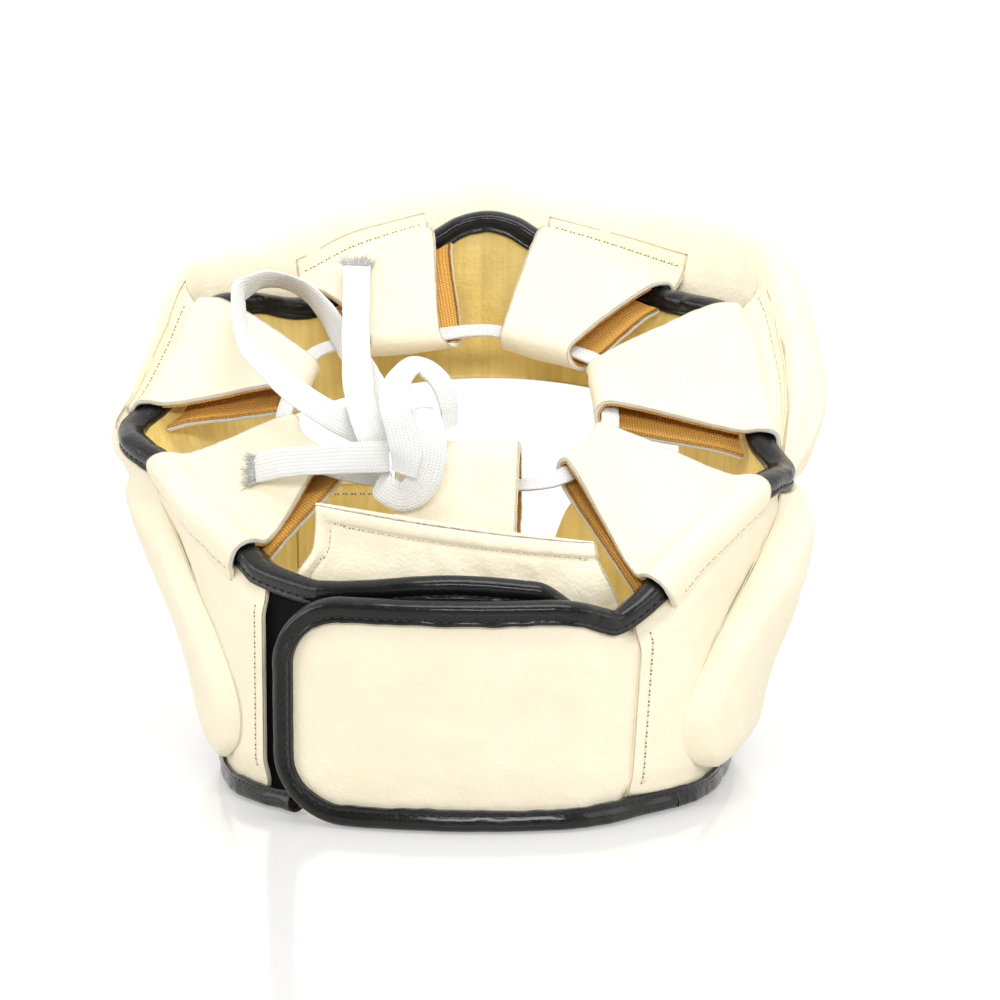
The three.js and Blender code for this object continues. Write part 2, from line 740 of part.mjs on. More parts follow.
// A sheet at a set distance from the middle of the strap leather
function strapSheet(paths, first, offset) {
  const across = paths.length - 1;
  const grid = paths.map((path, i) => path.map((p, j) => {
    const before = path[Math.max(0, j - 1)];
    const after = path[Math.min(path.length - 1, j + 1)];
    const along = after.clone().sub(before).normalize();
    const side = paths[Math.min(across, i + 1)][j].clone().sub(paths[Math.max(0, i - 1)][j]);
    const normal = new THREE.Vector3().crossVectors(side.normalize(), along).normalize();
    return p.clone().addScaledVector(normal, offset);
  }).slice(first));
  return (u, v) => grid[Math.round(u * across)][Math.round(v * (grid[0].length - 1))];
}

function addStrap(name, pathAt, fabricFrom) {
  const paths = [];
  for (let i = 0; i <= STRAP_ACROSS; i += 1) paths.push(smoothPath(pathAt(i / STRAP_ACROSS)));
  const half = FLAP_LEATHER / 2;
  const shallow = half + GAP;
  const deep = shallow + FLAP_FABRIC;
  const leather = [-half, half].map((offset) => strapSheet(paths, 0, offset));
  const fabric = [shallow, deep].map((offset) => strapSheet(paths, fabricFrom, offset));
  add(`strap_${name}`, slab(STRAP_ACROSS, STRAP_STEPS, ...leather), LEATHER);
  add(`strap_${name}_fabric`, slab(STRAP_ACROSS, STRAP_STEPS - fabricFrom, ...fabric), FABRIC);
}
for (const strap of STRAPS) addStrap(strap.name, (u) => strapPath(strap, u), 6);
addStrap('centre', centrePath, 2);

// Flat lace: a band along a route, with its own direction across at every step
function lace(steps, routeAt, width) {
  const sheet = (offset) => (u, v) => {
    const { point, across, normal } = routeAt(u);
    return point.clone().addScaledVector(across, (v - 0.5) * width)
      .addScaledVector(normal, offset);
  };
  return slab(steps, 1, sheet(LACE_THICK / 2), sheet(-LACE_THICK / 2));
}

const RING_START = -160;
const RING_END = 190;
const RING_SEAT = 0.5;
add('crown_lace', lace(58, (u) => {
  const angle = mix(RING_START, RING_END, u);
  const along = ringPoint(angle + 1).sub(ringPoint(angle - 1)).normalize();
  const tilt = rad(RING.tilt(angle));
  const outward = vec(Math.sin(rad(angle)), Math.cos(rad(angle)), 0);
  const across = outward.multiplyScalar(Math.cos(tilt)).addScaledVector(UP, Math.sin(tilt));
  across.addScaledVector(along, -across.dot(along)).normalize();
  const normal = new THREE.Vector3().crossVectors(along, across).normalize();
  const point = ringPoint(angle).addScaledVector(across, RING_SEAT);
  return { point, across, normal };
}, LACE_GATHERED), LACE);

const REARWARD = vec(0.08, -0.98, 0.16).normalize();
for (const [name, rows] of Object.entries(LACE_ROUTES)) {
  const curve = new THREE.CatmullRomCurve3(rows.map(([x, y, z]) => vec(x, y, z)), false, 'centripetal');
  const turns = table(['step', 'turn'], rows.map((row, i) => [i, row[3]]));
  const routeAt = (u) => {
    const along = curve.getTangent(u);
    const facing = REARWARD.clone().addScaledVector(along, -REARWARD.dot(along)).normalize();
    const normal = facing.applyAxisAngle(along, rad(turns.turn(u * (rows.length - 1))));
    const across = new THREE.Vector3().crossVectors(along, normal).normalize();
    return { point: curve.getPoint(u), across, normal };
  };
  add(name, lace(2 * (rows.length - 1), routeAt, LACE_WIDTH), LACE);
}

const box = new THREE.Box3().setFromObject(part);
const middle = box.getCenter(vec(0, 0, 0));
part.children.forEach((mesh) => mesh.geometry.translate(-middle.x, -middle.y, -box.min.z));

export default part;
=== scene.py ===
"""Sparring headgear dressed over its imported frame: leather, bindings, woven fabric, lace and stitching.

Shapes are worked out in millimetres on the headgear's own plan (X right, Y front, Z up) and placed in metres.
"""

import math
from types import SimpleNamespace

import bpy
import numpy as np
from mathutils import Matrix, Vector


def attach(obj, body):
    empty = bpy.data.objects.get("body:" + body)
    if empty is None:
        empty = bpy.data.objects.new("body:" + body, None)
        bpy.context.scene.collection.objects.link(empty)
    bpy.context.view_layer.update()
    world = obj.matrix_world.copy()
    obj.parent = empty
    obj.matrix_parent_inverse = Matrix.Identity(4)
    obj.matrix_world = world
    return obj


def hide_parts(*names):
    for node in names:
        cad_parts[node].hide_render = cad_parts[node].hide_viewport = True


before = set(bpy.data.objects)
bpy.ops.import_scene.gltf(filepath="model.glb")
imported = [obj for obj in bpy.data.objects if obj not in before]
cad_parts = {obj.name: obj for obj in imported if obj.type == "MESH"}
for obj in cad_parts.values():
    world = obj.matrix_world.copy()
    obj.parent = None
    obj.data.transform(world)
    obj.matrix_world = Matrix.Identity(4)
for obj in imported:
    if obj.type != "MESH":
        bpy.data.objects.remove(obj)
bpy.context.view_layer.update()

# From the plan's centre to the middle of the footprint
SHIFT = np.array([3.356, -6.198, 0.2])

# Sizes shared with the solids: mm, heights from the floor, angles in degrees from the front towards the right
SIDES = (("left", -1), ("right", 1))
GAP = 0.35
LAYER_GAP = 0.7
LINING = 2.0
EDGE = 3.0
WING = 5.0
SKIN_BACK = LINING + LAYER_GAP
FLAP_FABRIC = 0.7
FOLD_RADIUS = 5.0
FLAP_TUCK = 5.8
LACE_WIDTH = 10.6
LACE_GATHERED = 6.6
LACE_THICK = 2.0
CLOSURE_LEATHER = 5.0
CLOSURE_TOP = 77.2
CLOSURE_FOOT = 1.8
CLOSURE_CORNER = 23
CLOSURE_RIGHT = 66
CLOSURE_LEFT = -57
BACK_DEPTH = 112
BACK_BOW = 14
BACK_HALF = 62
WING_SEAM = 146
WING_FRONT = 54
CHEEK_FRONT = 14
CHEEK_SWELL = 8
FOOT_BIND_END = 38
WING_FOOT = 1.8
FLARE = 1.6
PAD_END = 98
PAD_ROUND = 20
BIND_LEATHER = 1.3
TAB_OUT = -4.65
TAB = 4.2
TAB_LEFT = -54
TAB_RIGHT = 51
RING_START = -160
RING_END = 190
RING_SEAT = 0.5

# Sizes of the dressed pieces alone
UV_MM = 10
LACE_STEPS = 14
LACE_RIB = 1.25
LACE_STRAND = 1.0
FRAY_YARNS = 260
FRAY_LENGTH = 6.5
DEGREE_MM = 1.7
RIPPLE = (-0.4, 0.9)
WING_LIP = 1.9
WING_LAP = 2.8
LEFT_WING_END = 143.4
EAR_TOP = 113
EAR_FOOT = 9
EAR_BULGES = {"left": 6, "right": 13}
BIND_FLANGE = 0.95
BIND_GROOVE = -4.45
CLOSURE_DIP = 5.5
CLOSURE_SINK = 6.4
CLOSURE_TUCK = 5
PATCH = 1.6
TAB_TOP = 79.5
TAB_SINK = 7.2
TONGUE_LEFT = -54
TONGUE_RIGHT = 54
TONGUE_SPREAD = 10
TONGUE_TOP = (106, 94)
TONGUE_FOOT = 16
TONGUE_STITCH = 5.6
STRAP_SKIN = 1.5
STRAP_STITCH = 5.0
CREST = 3.7
# gathers of the crown's binding: size, angle, width
RIM_GATHERS = ((0.5, -95, 12), (0.9, 52, 9), (0.8, -52, 8), (0.25, 100, 8))

# Camera and light
SENSOR = 36
FOCAL = 117.72
CAMERA_TURN = 4.5
CAMERA_RISE = 9.5
CAMERA_DISTANCE = 1.2
CAMERA_TARGET = np.array([9.0, 0, 94.2])
LIGHT_TARGET = (0, 0, 0.1)
FLOOR_SIZE = 60


def mix(a, b, t):
    return a + (b - a) * t


def ease(t):
    t = np.clip(t, 0, 1)
    return t * t * (3 - 2 * t)


def unit(v):
    return v / np.maximum(np.linalg.norm(v, axis=-1, keepdims=True), 1e-9)


def bell(x, middle, width):
    return np.exp(-(((x - middle) / width) ** 2))


def shares(n):
    return np.linspace(0, 1, n)


def lattice(u, v):
    return np.meshgrid(u, v, indexing="ij")


def place(x, y, z):
    return np.stack(np.broadcast_arrays(x, y, z), -1)


def level(p):
    """Unit directions straight away from the plan's centre."""
    return unit(p * [1, 1, 0])


def table(columns, rows):
    """Rows with named columns; each column becomes a smooth function of the first one."""
    data = np.array(rows, float)
    xs, n = data[:, 0], len(rows)
    a, b = np.maximum(np.arange(n) - 1, 0), np.minimum(np.arange(n) + 1, n - 1)
    slopes = (data[b] - data[a]) / (xs[b] - xs[a])[:, None]

    def column(c):
        def at(x):
            x = np.clip(np.asarray(x, float), xs[0], xs[-1])
            i = np.clip(np.searchsorted(xs, x) - 1, 0, n - 2)
            w = xs[i + 1] - xs[i]
            t = (x - xs[i]) / w
            t2, t3 = t * t, t * t * t
            return (
                data[i, c] * (2 * t3 - 3 * t2 + 1)
                + data[i + 1, c] * (3 * t2 - 2 * t3)
                + slopes[i, c] * w * (t3 - 2 * t2 + t)
                + slopes[i + 1, c] * w * (t3 - t2)
            )

        return at

    return SimpleNamespace(**{name: column(c) for c, name in enumerate(columns)})


RIM = table(("angle", "radius", "height"), [
    (-152, 106, 80), (-143, 103, 83), (-134, 101, 89.5), (-120, 106, 101), (-107, 111, 112), (-98, 121, 118),
    (-91, 123, 121.5), (-84, 116, 128.5), (-76, 112, 143), (-67, 111, 160), (-58, 108, 162),
    (-44, 100, 159), (-30, 94, 172), (-15, 91, 183), (-9, 90.5, 188.6), (-2, 90, 191), (5, 89.5, 188.8),
    (11, 89, 183.5), (25, 91, 174), (40, 95, 164), (51, 97, 162), (61, 101, 159), (76, 98.5, 141),
    (92, 101, 119), (100, 110, 111), (108, 110, 110.5), (116, 109, 108), (125, 107, 100), (135, 107, 90),
    (143, 107, 79), (152, 106, 69),
])
FOOT = table(("angle", "radius"), [
    (-152, 105), (-135, 101), (-124, 95), (-112, 89), (-90, 86), (-60, 92), (0, 88),
    (60, 92), (90, 87), (112, 92), (124, 99), (135, 104), (152, 106),
])
BROW = table(("angle", "height"), [
    (-99, 99), (-75, 106), (-55, 114), (-30, 124), (0, 128), (30, 124), (55, 114), (75, 106), (99, 99),
])
FOREHEAD = table(("angle", "bulge", "lift"), [
    (-99, 10, 0), (-84, 12, 7), (-68, 18, 12), (-55, 26, 17), (-40, 33, 24), (-20, 35, 17), (0, 36, 10),
    (20, 35, 18), (40, 34, 27), (55, 32, 25), (68, 29.5, 18), (84, 25, 9), (99, 14, 0),
])
FOREHEAD_SECTION = table(("step", "bulge", "ledge", "lift", "sink", "drop"), [
    (0, 0, 0, 0, 0, 0), (1, 0, 0.2, 0, 11, 0), (2, 0, 4.6, 0, 11, 0), (3, 0.16, 4.2, 0.35, 3, 0),
    (4, 0.4, 2, 0.85, 0, 0), (5, 0.64, 0, 1, 0, 0.02), (6, 0.86, 0, 1, 0, 0.14), (7, 0.99, 0, 1, 0, 0.36),
    (8, 0.98, 0, 1, 0, 0.6), (9, 0.84, 0, 1, 0, 0.84), (10, 0.54, 0, 1, 0, 0.98), (11, 0.2, 0, 1, 0, 1.02),
    (12, 0, 0, 1, 0, 1),
])
FOREHEAD_STEPS = 12
CHEEK = table(("angle", "foot", "top"), [
    (14, 33, 58), (18, 18, 75), (22, 9, 82.5), (28, 3, 86), (33, 1.8, 87), (38, 1.8, 87.5), (46, 1.8, 90),
    (54, 1.8, 110), (58, 1.8, 111.5),
])
EAR_SEAM = table(("height", "angle"), [
    (9, 121), (13, 130), (22, 136), (38, 135), (60, 125), (80, 112), (96, 104),
])
RING = table(("angle", "radius", "height", "tilt"), [
    (-180, 64, 111, -8), (-158, 71, 112, -32), (-140, 73, 115, -52), (-122, 73, 119, -38),
    (-90, 68, 131, -12), (-63, 68, 145, 18), (-31, 58, 147, 38), (0, 55, 150, 33), (20, 54, 146, 34),
    (45, 56, 142, 23), (75, 48, 137, -4), (100, 50, 126, -16), (135, 60, 116, -40), (156, 68, 111, -28),
    (180, 64, 111, -8), (202, 71, 112, -28),
])
STRAPS = {
    "front_left": ((-42, -15), (-47, -15), 3.5),
    "front_right": ((11, 42), (7, 40), 3.4),
    "side_left": ((-87, -67), (-89, -70), 3.8),
    "side_right": ((61, 92), (55, 98), 3.5),
    "rear_left": ((-136, -107), (-142, -106), None),
    "rear_right": ((115, 142), (112, 146), None),
}
CENTRE_STRAP = np.array([
    (-87, 70), (-86.6, 84), (-83.6, 98), (-77.2, 111), (-72, 121), (-66, 125), (-60.6, 121.5),
    (-58.5, 112), (-61, 100), (-68, 88), (-74, 78),
])
CENTRE_STRAP_HALF = 21
# Routes of the tied lace: x, y, z and how far the flat lace turns from facing the rear
LACE_ROUTES = {
    "lace_knot": [
        (-26.2, -77.2, 113.4, 30), (-23.4, -83, 111.2, 25), (-17.5, -86, 109.1, 20), (-12, -87, 112.6, 10),
        (-8.5, -87, 119.5, 5), (-7.7, -85, 127.2, 5), (-9.3, -80, 133.2, 15), (-13.2, -74, 137.2, 35),
    ],
    "lace_bight": [
        (-2.8, -69.5, 131, 60), (-3.2, -70, 138.8, 55), (-5.3, -70, 145.6, 50), (-9.7, -70, 150.5, 50),
        (-14.9, -72, 152.5, 50), (-18.6, -76, 150, 40), (-20.5, -82, 145.3, 25), (-19.5, -88, 138.8, 10),
        (-17.2, -90.2, 131.4, 5), (-15.7, -90.9, 124.3, 10), (-16.7, -89.6, 117.9, 25),
    ],
    "lace_bow": [
        (-27.2, -67, 125, 10), (-35.6, -65, 129.5, 15), (-44.3, -63, 133.5, 25), (-56.3, -56, 139.5, 30),
        (-69, -40, 146, 45), (-80.9, -15, 151.5, 62), (-88, 10, 159, 70), (-91.3, 30, 165.6, 68),
        (-90.7, 45, 167, 62), (-85.5, 55, 169, 60), (-78.3, 60, 168, 60), (-69.8, 56, 164.6, 56),
        (-61.9, 46, 159, 48), (-54.9, 33, 152.5, 38), (-48.6, 19.5, 147, 22), (-40.6, -3, 141.5, 12),
        (-33, -31, 136.5, 8), (-28.1, -54, 131.5, 5), (-25, -68.5, 129.5, 5),
    ],
    "lace_end_up": [
        (-27.2, -78.4, 122.4, 0), (-29, -77.6, 128.8, 0), (-32.4, -72, 135.8, 0), (-36.6, -51, 142, 5),
        (-40.5, -25, 148, 8), (-44.2, 3, 155.5, 8), (-47.7, 33, 162, 8), (-50.3, 56, 168.5, 8),
        (-51.7, 69, 173.5, 5),
    ],
    "lace_end_left": [
        (-22.5, -82, 122.5, 0), (-28.8, -82.5, 122.3, 0), (-37.9, -80, 121.5, 5), (-47.5, -75, 120, 10),
        (-55.6, -69.5, 118.5, 12), (-63.2, -63, 116.8, 14), (-69.6, -57.5, 114.6, 14),
        (-73.3, -54, 113.2, 14),
    ],
}
REARWARD = unit(np.array([0.08, -0.98, 0.16]))


# Shape helpers
def wall(angle, height, out=0.0):
    """Inner wall of the headgear, with a distance out through it."""
    share = np.clip(height / RIM.height(angle), 0, 1)
    r = mix(FOOT.radius(angle), RIM.radius(angle), share**FLARE) + out
    a = np.radians(angle)
    return place(r * np.sin(a), r * np.cos(a), height)


def beside_rim(angle, out, up):
    r = np.linalg.norm(wall(angle, RIM.height(angle))[..., :2], axis=-1)
    slope = (RIM.height(angle + 1) - RIM.height(angle - 1)) / (math.radians(2) * r)
    rise = 1 / np.hypot(1, slope)
    shift = np.degrees(-slope * rise * up / r)
    return wall(angle + shift, RIM.height(angle) + rise * up, out)


def rim_steep(angle):
    return 1 / (beside_rim(angle, 0, 1)[..., 2] - RIM.height(angle))


def back_point(x, out, height):
    """Curve of the rear closure in plan; out is measured away from the head."""
    slope = 2 * BACK_BOW * x / BACK_HALF**2
    run = np.hypot(slope, 1)
    y = -BACK_DEPTH + BACK_BOW * (x / BACK_HALF) ** 2
    return place(x + slope / run * out, y - out / run, height)


def catmull(points, t):
    """Centripetal curve through points (..., n, 3) at the shares t."""
    n = points.shape[-2]
    first = 2 * points[..., :1, :] - points[..., 1:2, :]
    last = 2 * points[..., -1:, :] - points[..., -2:-1, :]
    ext = np.concatenate([first, points, last], axis=-2)
    p = np.asarray(t) * (n - 1)
    i = np.minimum(p.astype(int), n - 2)
    w = (p - i)[:, None]
    p0, p1, p2, p3 = (ext[..., i + k, :] for k in range(4))

    def step(a, b):
        return np.maximum(np.linalg.norm(b - a, axis=-1, keepdims=True) ** 0.5, 1e-4)

    d0, d1, d2 = step(p0, p1), step(p1, p2), step(p2, p3)
    t1 = ((p1 - p0) / d0 - (p2 - p0) / (d0 + d1) + (p2 - p1) / d1) * d1
    t2 = ((p2 - p1) / d1 - (p3 - p1) / (d1 + d2) + (p3 - p2) / d2) * d1
    return p1 + w * (t1 + w * ((3 * p2 - 3 * p1 - 2 * t1 - t2) + w * (2 * p1 - 2 * p2 + t1 + t2)))


def noise(p, seed=0):
    """Smooth noise from -1 to 1 at points p (..., 3)."""
    cell = np.floor(p).astype(np.int64)
    f = p - cell
    f = f * f * f * (f * (f * 6 - 15) + 10)
    total = np.zeros(p.shape[:-1])
    for k in range(8):
        d = np.array([k & 1, k >> 1 & 1, k >> 2])
        c = cell + d
        h = c[..., 0] * 73856093 ^ c[..., 1] * 19349663 ^ c[..., 2] * 83492791 ^ (seed + 1) * 49979693
        h = (h ^ (h >> 13)) * 1274126177 & 0x7FFFFFFF
        h = (h ^ (h >> 15)) * 668265263 & 0x7FFFFFFF
        total += np.prod(np.where(d, f, 1 - f), axis=-1) * (h / 0x3FFFFFFF - 1)
    return total


def rough(p, size, seed=0, octaves=3):
    """Layered noise whose largest feature has that size in millimetres (one number or one per axis)."""
    q = p / np.asarray(size, float)
    return sum(noise(q * 2**k, seed + k) / 2**k for k in range(octaves))


def surface(p):
    """Unit normals of a grid of points (nu, nv, 3)."""
    return unit(np.cross(np.gradient(p, axis=0), np.gradient(p, axis=1)))


def lengths(p):
    """Distance along a polyline (n, 3), from its start."""
    return np.concatenate([[0], np.cumsum(np.linalg.norm(np.diff(p, axis=0), axis=1))])


def spans(p):
    """Mean distances along both directions of a grid, as a pair of grids."""
    du = np.linalg.norm(np.diff(p, axis=0), axis=2).mean(1)
    dv = np.linalg.norm(np.diff(p, axis=1), axis=2).mean(0)
    u, v = np.concatenate([[0], np.cumsum(du)]), np.concatenate([[0], np.cumsum(dv)])
    return np.stack(lattice(u, v), -1)


# Meshes: dictionaries of points, faces, flat coordinates and a cut-edge mark
def quads(nu, nv, start=0, close=False):
    i, j = lattice(np.arange(nu - (0 if close else 1)), np.arange(nv - 1))
    k = (i + 1) % nu
    return start + np.stack([i * nv + j, k * nv + j, k * nv + j + 1, i * nv + j + 1], -1).reshape(-1, 4)


def border(nu, nv):
    """Grid places around the edge, in order."""
    around = [(i, 0) for i in range(nu)] + [(nu - 1, j) for j in range(1, nv)]
    around += [(i, nv - 1) for i in range(nu - 2, -1, -1)] + [(0, j) for j in range(nv - 2, 0, -1)]
    return np.array(around).T


def solid(outer, inner, segments=3, roll=0.4, raw=None):
    """A body closed by two sheets and a rounded strip around their edges; raw marks cut edges."""
    nu, nv = outer.shape[:2]
    half = nu * nv
    i, j = border(nu, nv)
    a, b = outer[i, j], inner[i, j]
    mid = (outer + inner) / 2
    side = np.zeros((nu, nv, 3))
    side[0] -= unit(mid[1] - mid[0])
    side[-1] += unit(mid[-1] - mid[-2])
    side[:, 0] -= unit(mid[:, 1] - mid[:, 0])
    side[:, -1] += unit(mid[:, -1] - mid[:, -2])
    away = unit(side[i, j])
    thick = np.linalg.norm(a - b, axis=1, keepdims=True) / 2
    points = [outer.reshape(-1, 3), inner.reshape(-1, 3)]
    flat = spans(mid)
    flats = [flat.reshape(-1, 2), flat.reshape(-1, 2)]
    rows = [i * nv + j]
    marks = [np.zeros(2 * half)]
    for k in range(1, segments):
        turn = math.pi * (k / segments)
        points.append(mix(a, b, (1 - math.cos(turn)) / 2) + away * thick * math.sin(turn) * roll)
        flats.append(flat[i, j])
        marks.append(np.zeros(len(i)) if raw is None else raw[i, j])
        rows.append(2 * half + (k - 1) * len(i) + np.arange(len(i)))
    rows.append(half + i * nv + j)
    faces = [quads(nu, nv), quads(nu, nv, half)[:, ::-1]]
    for low, high in zip(rows[:-1], rows[1:]):
        faces.append(np.stack([low, high, np.roll(high, -1), np.roll(low, -1)], -1)[:, ::-1])
    return {"points": np.concatenate(points), "faces": np.concatenate(faces), "flat": np.concatenate(flats),
            "mark": np.concatenate(marks)}


def shell(mid, thick, segments=4, roll=0.5, raw=None):
    n = surface(mid) * (np.asarray(thick) / 2)[..., None]
    return solid(mid + n, mid - n, segments, roll, raw)


def sweep(centre, out, up, section):
    """A closed section of (out, up) places carried along a path, one set of section points per step."""
    n, m = len(centre), section.shape[-2]
    section = np.broadcast_to(section, (n, m, 2))
    p = centre[:, None] + out[:, None] * section[..., :1] + up[:, None] * section[..., 1:]
    around = lengths(np.concatenate([section[0], section[0][:1]])[:, [0, 1, 1]] * [1, 1, 0])
    along = lengths(centre)
    flat = np.stack(lattice(around[:-1], along), -1)
    faces = quads(m, n, close=True)
    points = p.transpose(1, 0, 2).reshape(-1, 3)
    flats = flat.reshape(-1, 2)
    for e in (0, n - 1):
        hub = len(points)
        points = np.concatenate([points, p[e].mean(0, keepdims=True)])
        flats = np.concatenate([flats, flats[:1]])
        ring = np.arange(m) * n + e
        fan = np.stack([ring, np.roll(ring, -1), np.full(m, hub), np.full(m, hub)], -1)
        faces = np.concatenate([faces, fan if e == 0 else fan[:, [1, 0, 2, 3]]])
    return {"points": points, "faces": faces, "flat": flats, "mark": np.zeros(len(points))}


def join(*meshes):
    out, start = {k: [] for k in ("points", "faces", "flat", "mark")}, 0
    for m in meshes:
        for k in out:
            out[k].append(m[k] + start if k == "faces" else m[k])
        start += len(m["points"])
    return {k: np.concatenate(v) for k, v in out.items()}


KINDS = {"ochre_fabric": "weave", "white_lace": "braid", "fastener_fabric": "felt"}


def make(name, mesh, material):
    """Turns a mesh into a piece that rides on the root."""
    p = (mesh["points"] + SHIFT) / 1000
    f = mesh["faces"]
    a, b, c, d = (p[f[:, k]] for k in range(4))
    volume = (np.cross(b, c) * a).sum() + (np.cross(c, d) * a).sum()
    if volume < 0:
        f = f[:, ::-1]
    me = bpy.data.meshes.new(name)
    # a fan's faces repeat one corner, and are triangles
    faces = [q[:3] if q[2] == q[3] else (q[1:] if q[0] == q[1] else q) for q in f.tolist()]
    me.from_pydata(p.tolist(), [], faces)
    uv = me.uv_layers.new(name="flat")
    loops = np.empty(len(me.loops), np.int32)
    me.loops.foreach_get("vertex_index", loops)
    uv.data.foreach_set("uv", (mesh["flat"][loops] / UV_MM).ravel())
    me.attributes.new("cut", "FLOAT", "POINT").data.foreach_set("value", mesh["mark"])
    me.shade_smooth()
    me.materials.append(material)
    piece = bpy.data.objects.new(name, me)
    bpy.context.collection.objects.link(piece)
    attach(piece, "root")
    return piece


def dress(node, mesh, material, slot):
    """Makes the piece that stands for a node of the frame."""
    piece = make(f"{node}_{KINDS.get(slot, 'leather')}", mesh, material)
    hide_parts(node)
    return piece


# Camera
def aim(camera, azimuth, elevation, distance, target):
    a, e = math.radians(azimuth), math.radians(elevation)
    back = Vector((math.sin(a) * math.cos(e), -math.cos(a) * math.cos(e), math.sin(e)))
    camera.location = Vector(target) + back * distance
    camera.rotation_mode = "QUATERNION"
    camera.rotation_quaternion = (-back).to_track_quat("-Z", "Y")


lens = bpy.data.cameras.new("camera")
lens.sensor_width = SENSOR
lens.lens = FOCAL
camera = bpy.data.objects.new("camera", lens)
bpy.context.collection.objects.link(camera)
aim(camera, CAMERA_TURN, CAMERA_RISE, CAMERA_DISTANCE, (CAMERA_TARGET + SHIFT) / 1000)
bpy.context.scene.camera = camera


# Materials
class Look:
    """A node material being built; its last step is a Principled shader."""

    def __init__(self, name, **sockets):
        self.material = bpy.data.materials.new(name)
        self.material.use_nodes = True
        self.nodes = self.material.node_tree.nodes
        self.links = self.material.node_tree.links
        self.shader = self.nodes["Principled BSDF"]
        for key, value in sockets.items():
            self.shader.inputs[key.replace("_", " ")].default_value = value

    def add(self, kind, inputs=None, **settings):
        node = self.nodes.new("ShaderNode" + kind)
        for key, value in settings.items():
            setattr(node, key, value)
        for key, value in (inputs or {}).items():
            if isinstance(value, bpy.types.NodeSocket):
                self.links.new(value, node.inputs[key])
            else:
                node.inputs[key].default_value = value
        return node

    def spot(self, flat=False):
        return self.add("TexCoord").outputs["UV" if flat else "Object"]

    def noise(self, where, scale, detail=3, rough=0.55):
        inputs = {"Vector": where, "Scale": scale, "Detail": detail, "Roughness": rough}
        return self.add("TexNoise", inputs).outputs["Fac"]

    def ramp(self, value, low, high, to_low=0.0, to_high=1.0):
        inputs = {"Value": value, "From Min": low, "From Max": high, "To Min": to_low, "To Max": to_high}
        return self.add("MapRange", inputs).outputs["Result"]

    def math(self, operation, a, b=0.5):
        return self.add("Math", {0: a, 1: b}, operation=operation).outputs[0]

    def times(self, a, b):
        return self.math("MULTIPLY", a, b)

    def plus(self, a, b):
        return self.math("ADD", a, b)

    def wave(self, value):
        return self.math("ABSOLUTE", self.math("SINE", self.times(value, math.pi)))

    def odd(self, value):
        return self.math("GREATER_THAN", self.math("ABSOLUTE", self.math("MODULO", value, 2.0)), 0.5)

    def choose(self, share, a, b):
        return self.add("Mix", {0: share, 2: a, 3: b}, data_type="FLOAT").outputs[0]

    def blend(self, share, a, b):
        a, b = ((*c, 1) if isinstance(c, tuple) else c for c in (a, b))
        return self.add("Mix", {0: share, 6: a, 7: b}, data_type="RGBA").outputs[2]

    def scale(self, where, x, y, z):
        return self.add("Mapping", {"Vector": where, "Scale": (x, y, z)}).outputs["Vector"]

    def bump(self, height, distance, strength=1.0):
        inputs = {"Height": height, "Distance": distance, "Strength": strength}
        return self.add("Bump", inputs).outputs["Normal"]

    def finish(self, **links):
        for key, value in links.items():
            self.links.new(value, self.shader.inputs[key.replace("_", " ")])
        return self.material


def leather(name, tone, deep, cut, grain=1.0, gloss=0.45, wrinkle=1.0, streak=0.0, **sockets):
    """Smooth-grained leather: pebbled cells, fine creases and slow colour drift; its cut edge is raw."""
    look = Look(name, **sockets)
    here = look.spot()
    drift = look.noise(here, 36, 2)
    fine = look.noise(here, 330, 2)
    cells = look.add("TexVoronoi", {"Vector": here, "Scale": 820.0 / grain}, feature="F1").outputs["Distance"]
    colour = look.blend(look.ramp(drift, 0.32, 0.68), tone, deep)
    colour = look.blend(look.ramp(fine, 0.35, 0.75, 0.0, 0.4), colour, deep)
    if streak:
        lines = look.noise(look.scale(here, 260, 260, 14), 1.0, 2)
        colour = look.blend(look.ramp(lines, 0.4, 0.75, 0.0, streak), colour, tuple(c * 0.72 for c in deep))
    raw = look.add("Attribute", attribute_name="cut").outputs["Fac"]
    colour = look.blend(raw, colour, cut)
    height = look.times(cells, -0.00012 * grain)
    height = look.plus(height, look.times(fine, 0.00022 * wrinkle))
    height = look.plus(height, look.times(drift, 0.0016 * wrinkle))
    shine = look.ramp(fine, 0.3, 0.7, gloss - 0.05, gloss + 0.08)
    return look.finish(Base_Color=colour, Normal=look.bump(height, 1.0), Roughness=shine)


def woven(name, warp_tone, weft_tone, gap_shade_and_fibre_tone, thread, depth=0.00022):
    """Plain weave on the flat coordinates: over and under threads, with gaps between them painted in a darker
    shade colour.
    """
    look = Look(name, Roughness=0.85)
    flat = look.spot(flat=True)
    wobble = look.add("TexNoise", {"Vector": flat, "Scale": 2.0}).outputs["Color"]
    flat = look.add("VectorMath", {0: flat, 1: look.scale(wobble, 0.03, 0.03, 0)}, operation="ADD").outputs[0]
    parts = look.add("SeparateXYZ", {"Vector": look.scale(flat, UV_MM / thread, UV_MM / thread, 1)})
    x, y = parts.outputs[0], parts.outputs[1]
    cx, cy = look.wave(x), look.wave(y)
    over = look.odd(look.plus(look.math("FLOOR", x), look.math("FLOOR", y)))
    along_x = look.times(cy, look.math("POWER", cx, 0.5))
    along_y = look.times(cx, look.math("POWER", cy, 0.5))
    high = look.choose(over, along_x, along_y)
    fibre = look.noise(look.spot(), 1800, 3, 0.6)
    thread_colour = look.blend(over, warp_tone, weft_tone)
    # the low gaps between threads get the darker colour: painted shade in the weave's hollows
    colour = look.blend(look.ramp(high, 0.1, 0.7), gap_shade_and_fibre_tone, thread_colour)
    # random fibres lean a little towards the same darker colour
    colour = look.blend(look.ramp(fibre, 0.3, 0.7, 0.0, 0.3), colour, gap_shade_and_fibre_tone)
    height = look.plus(look.times(high, depth), look.times(fibre, 0.00006))
    return look.finish(Base_Color=colour, Normal=look.bump(height, 1.0))


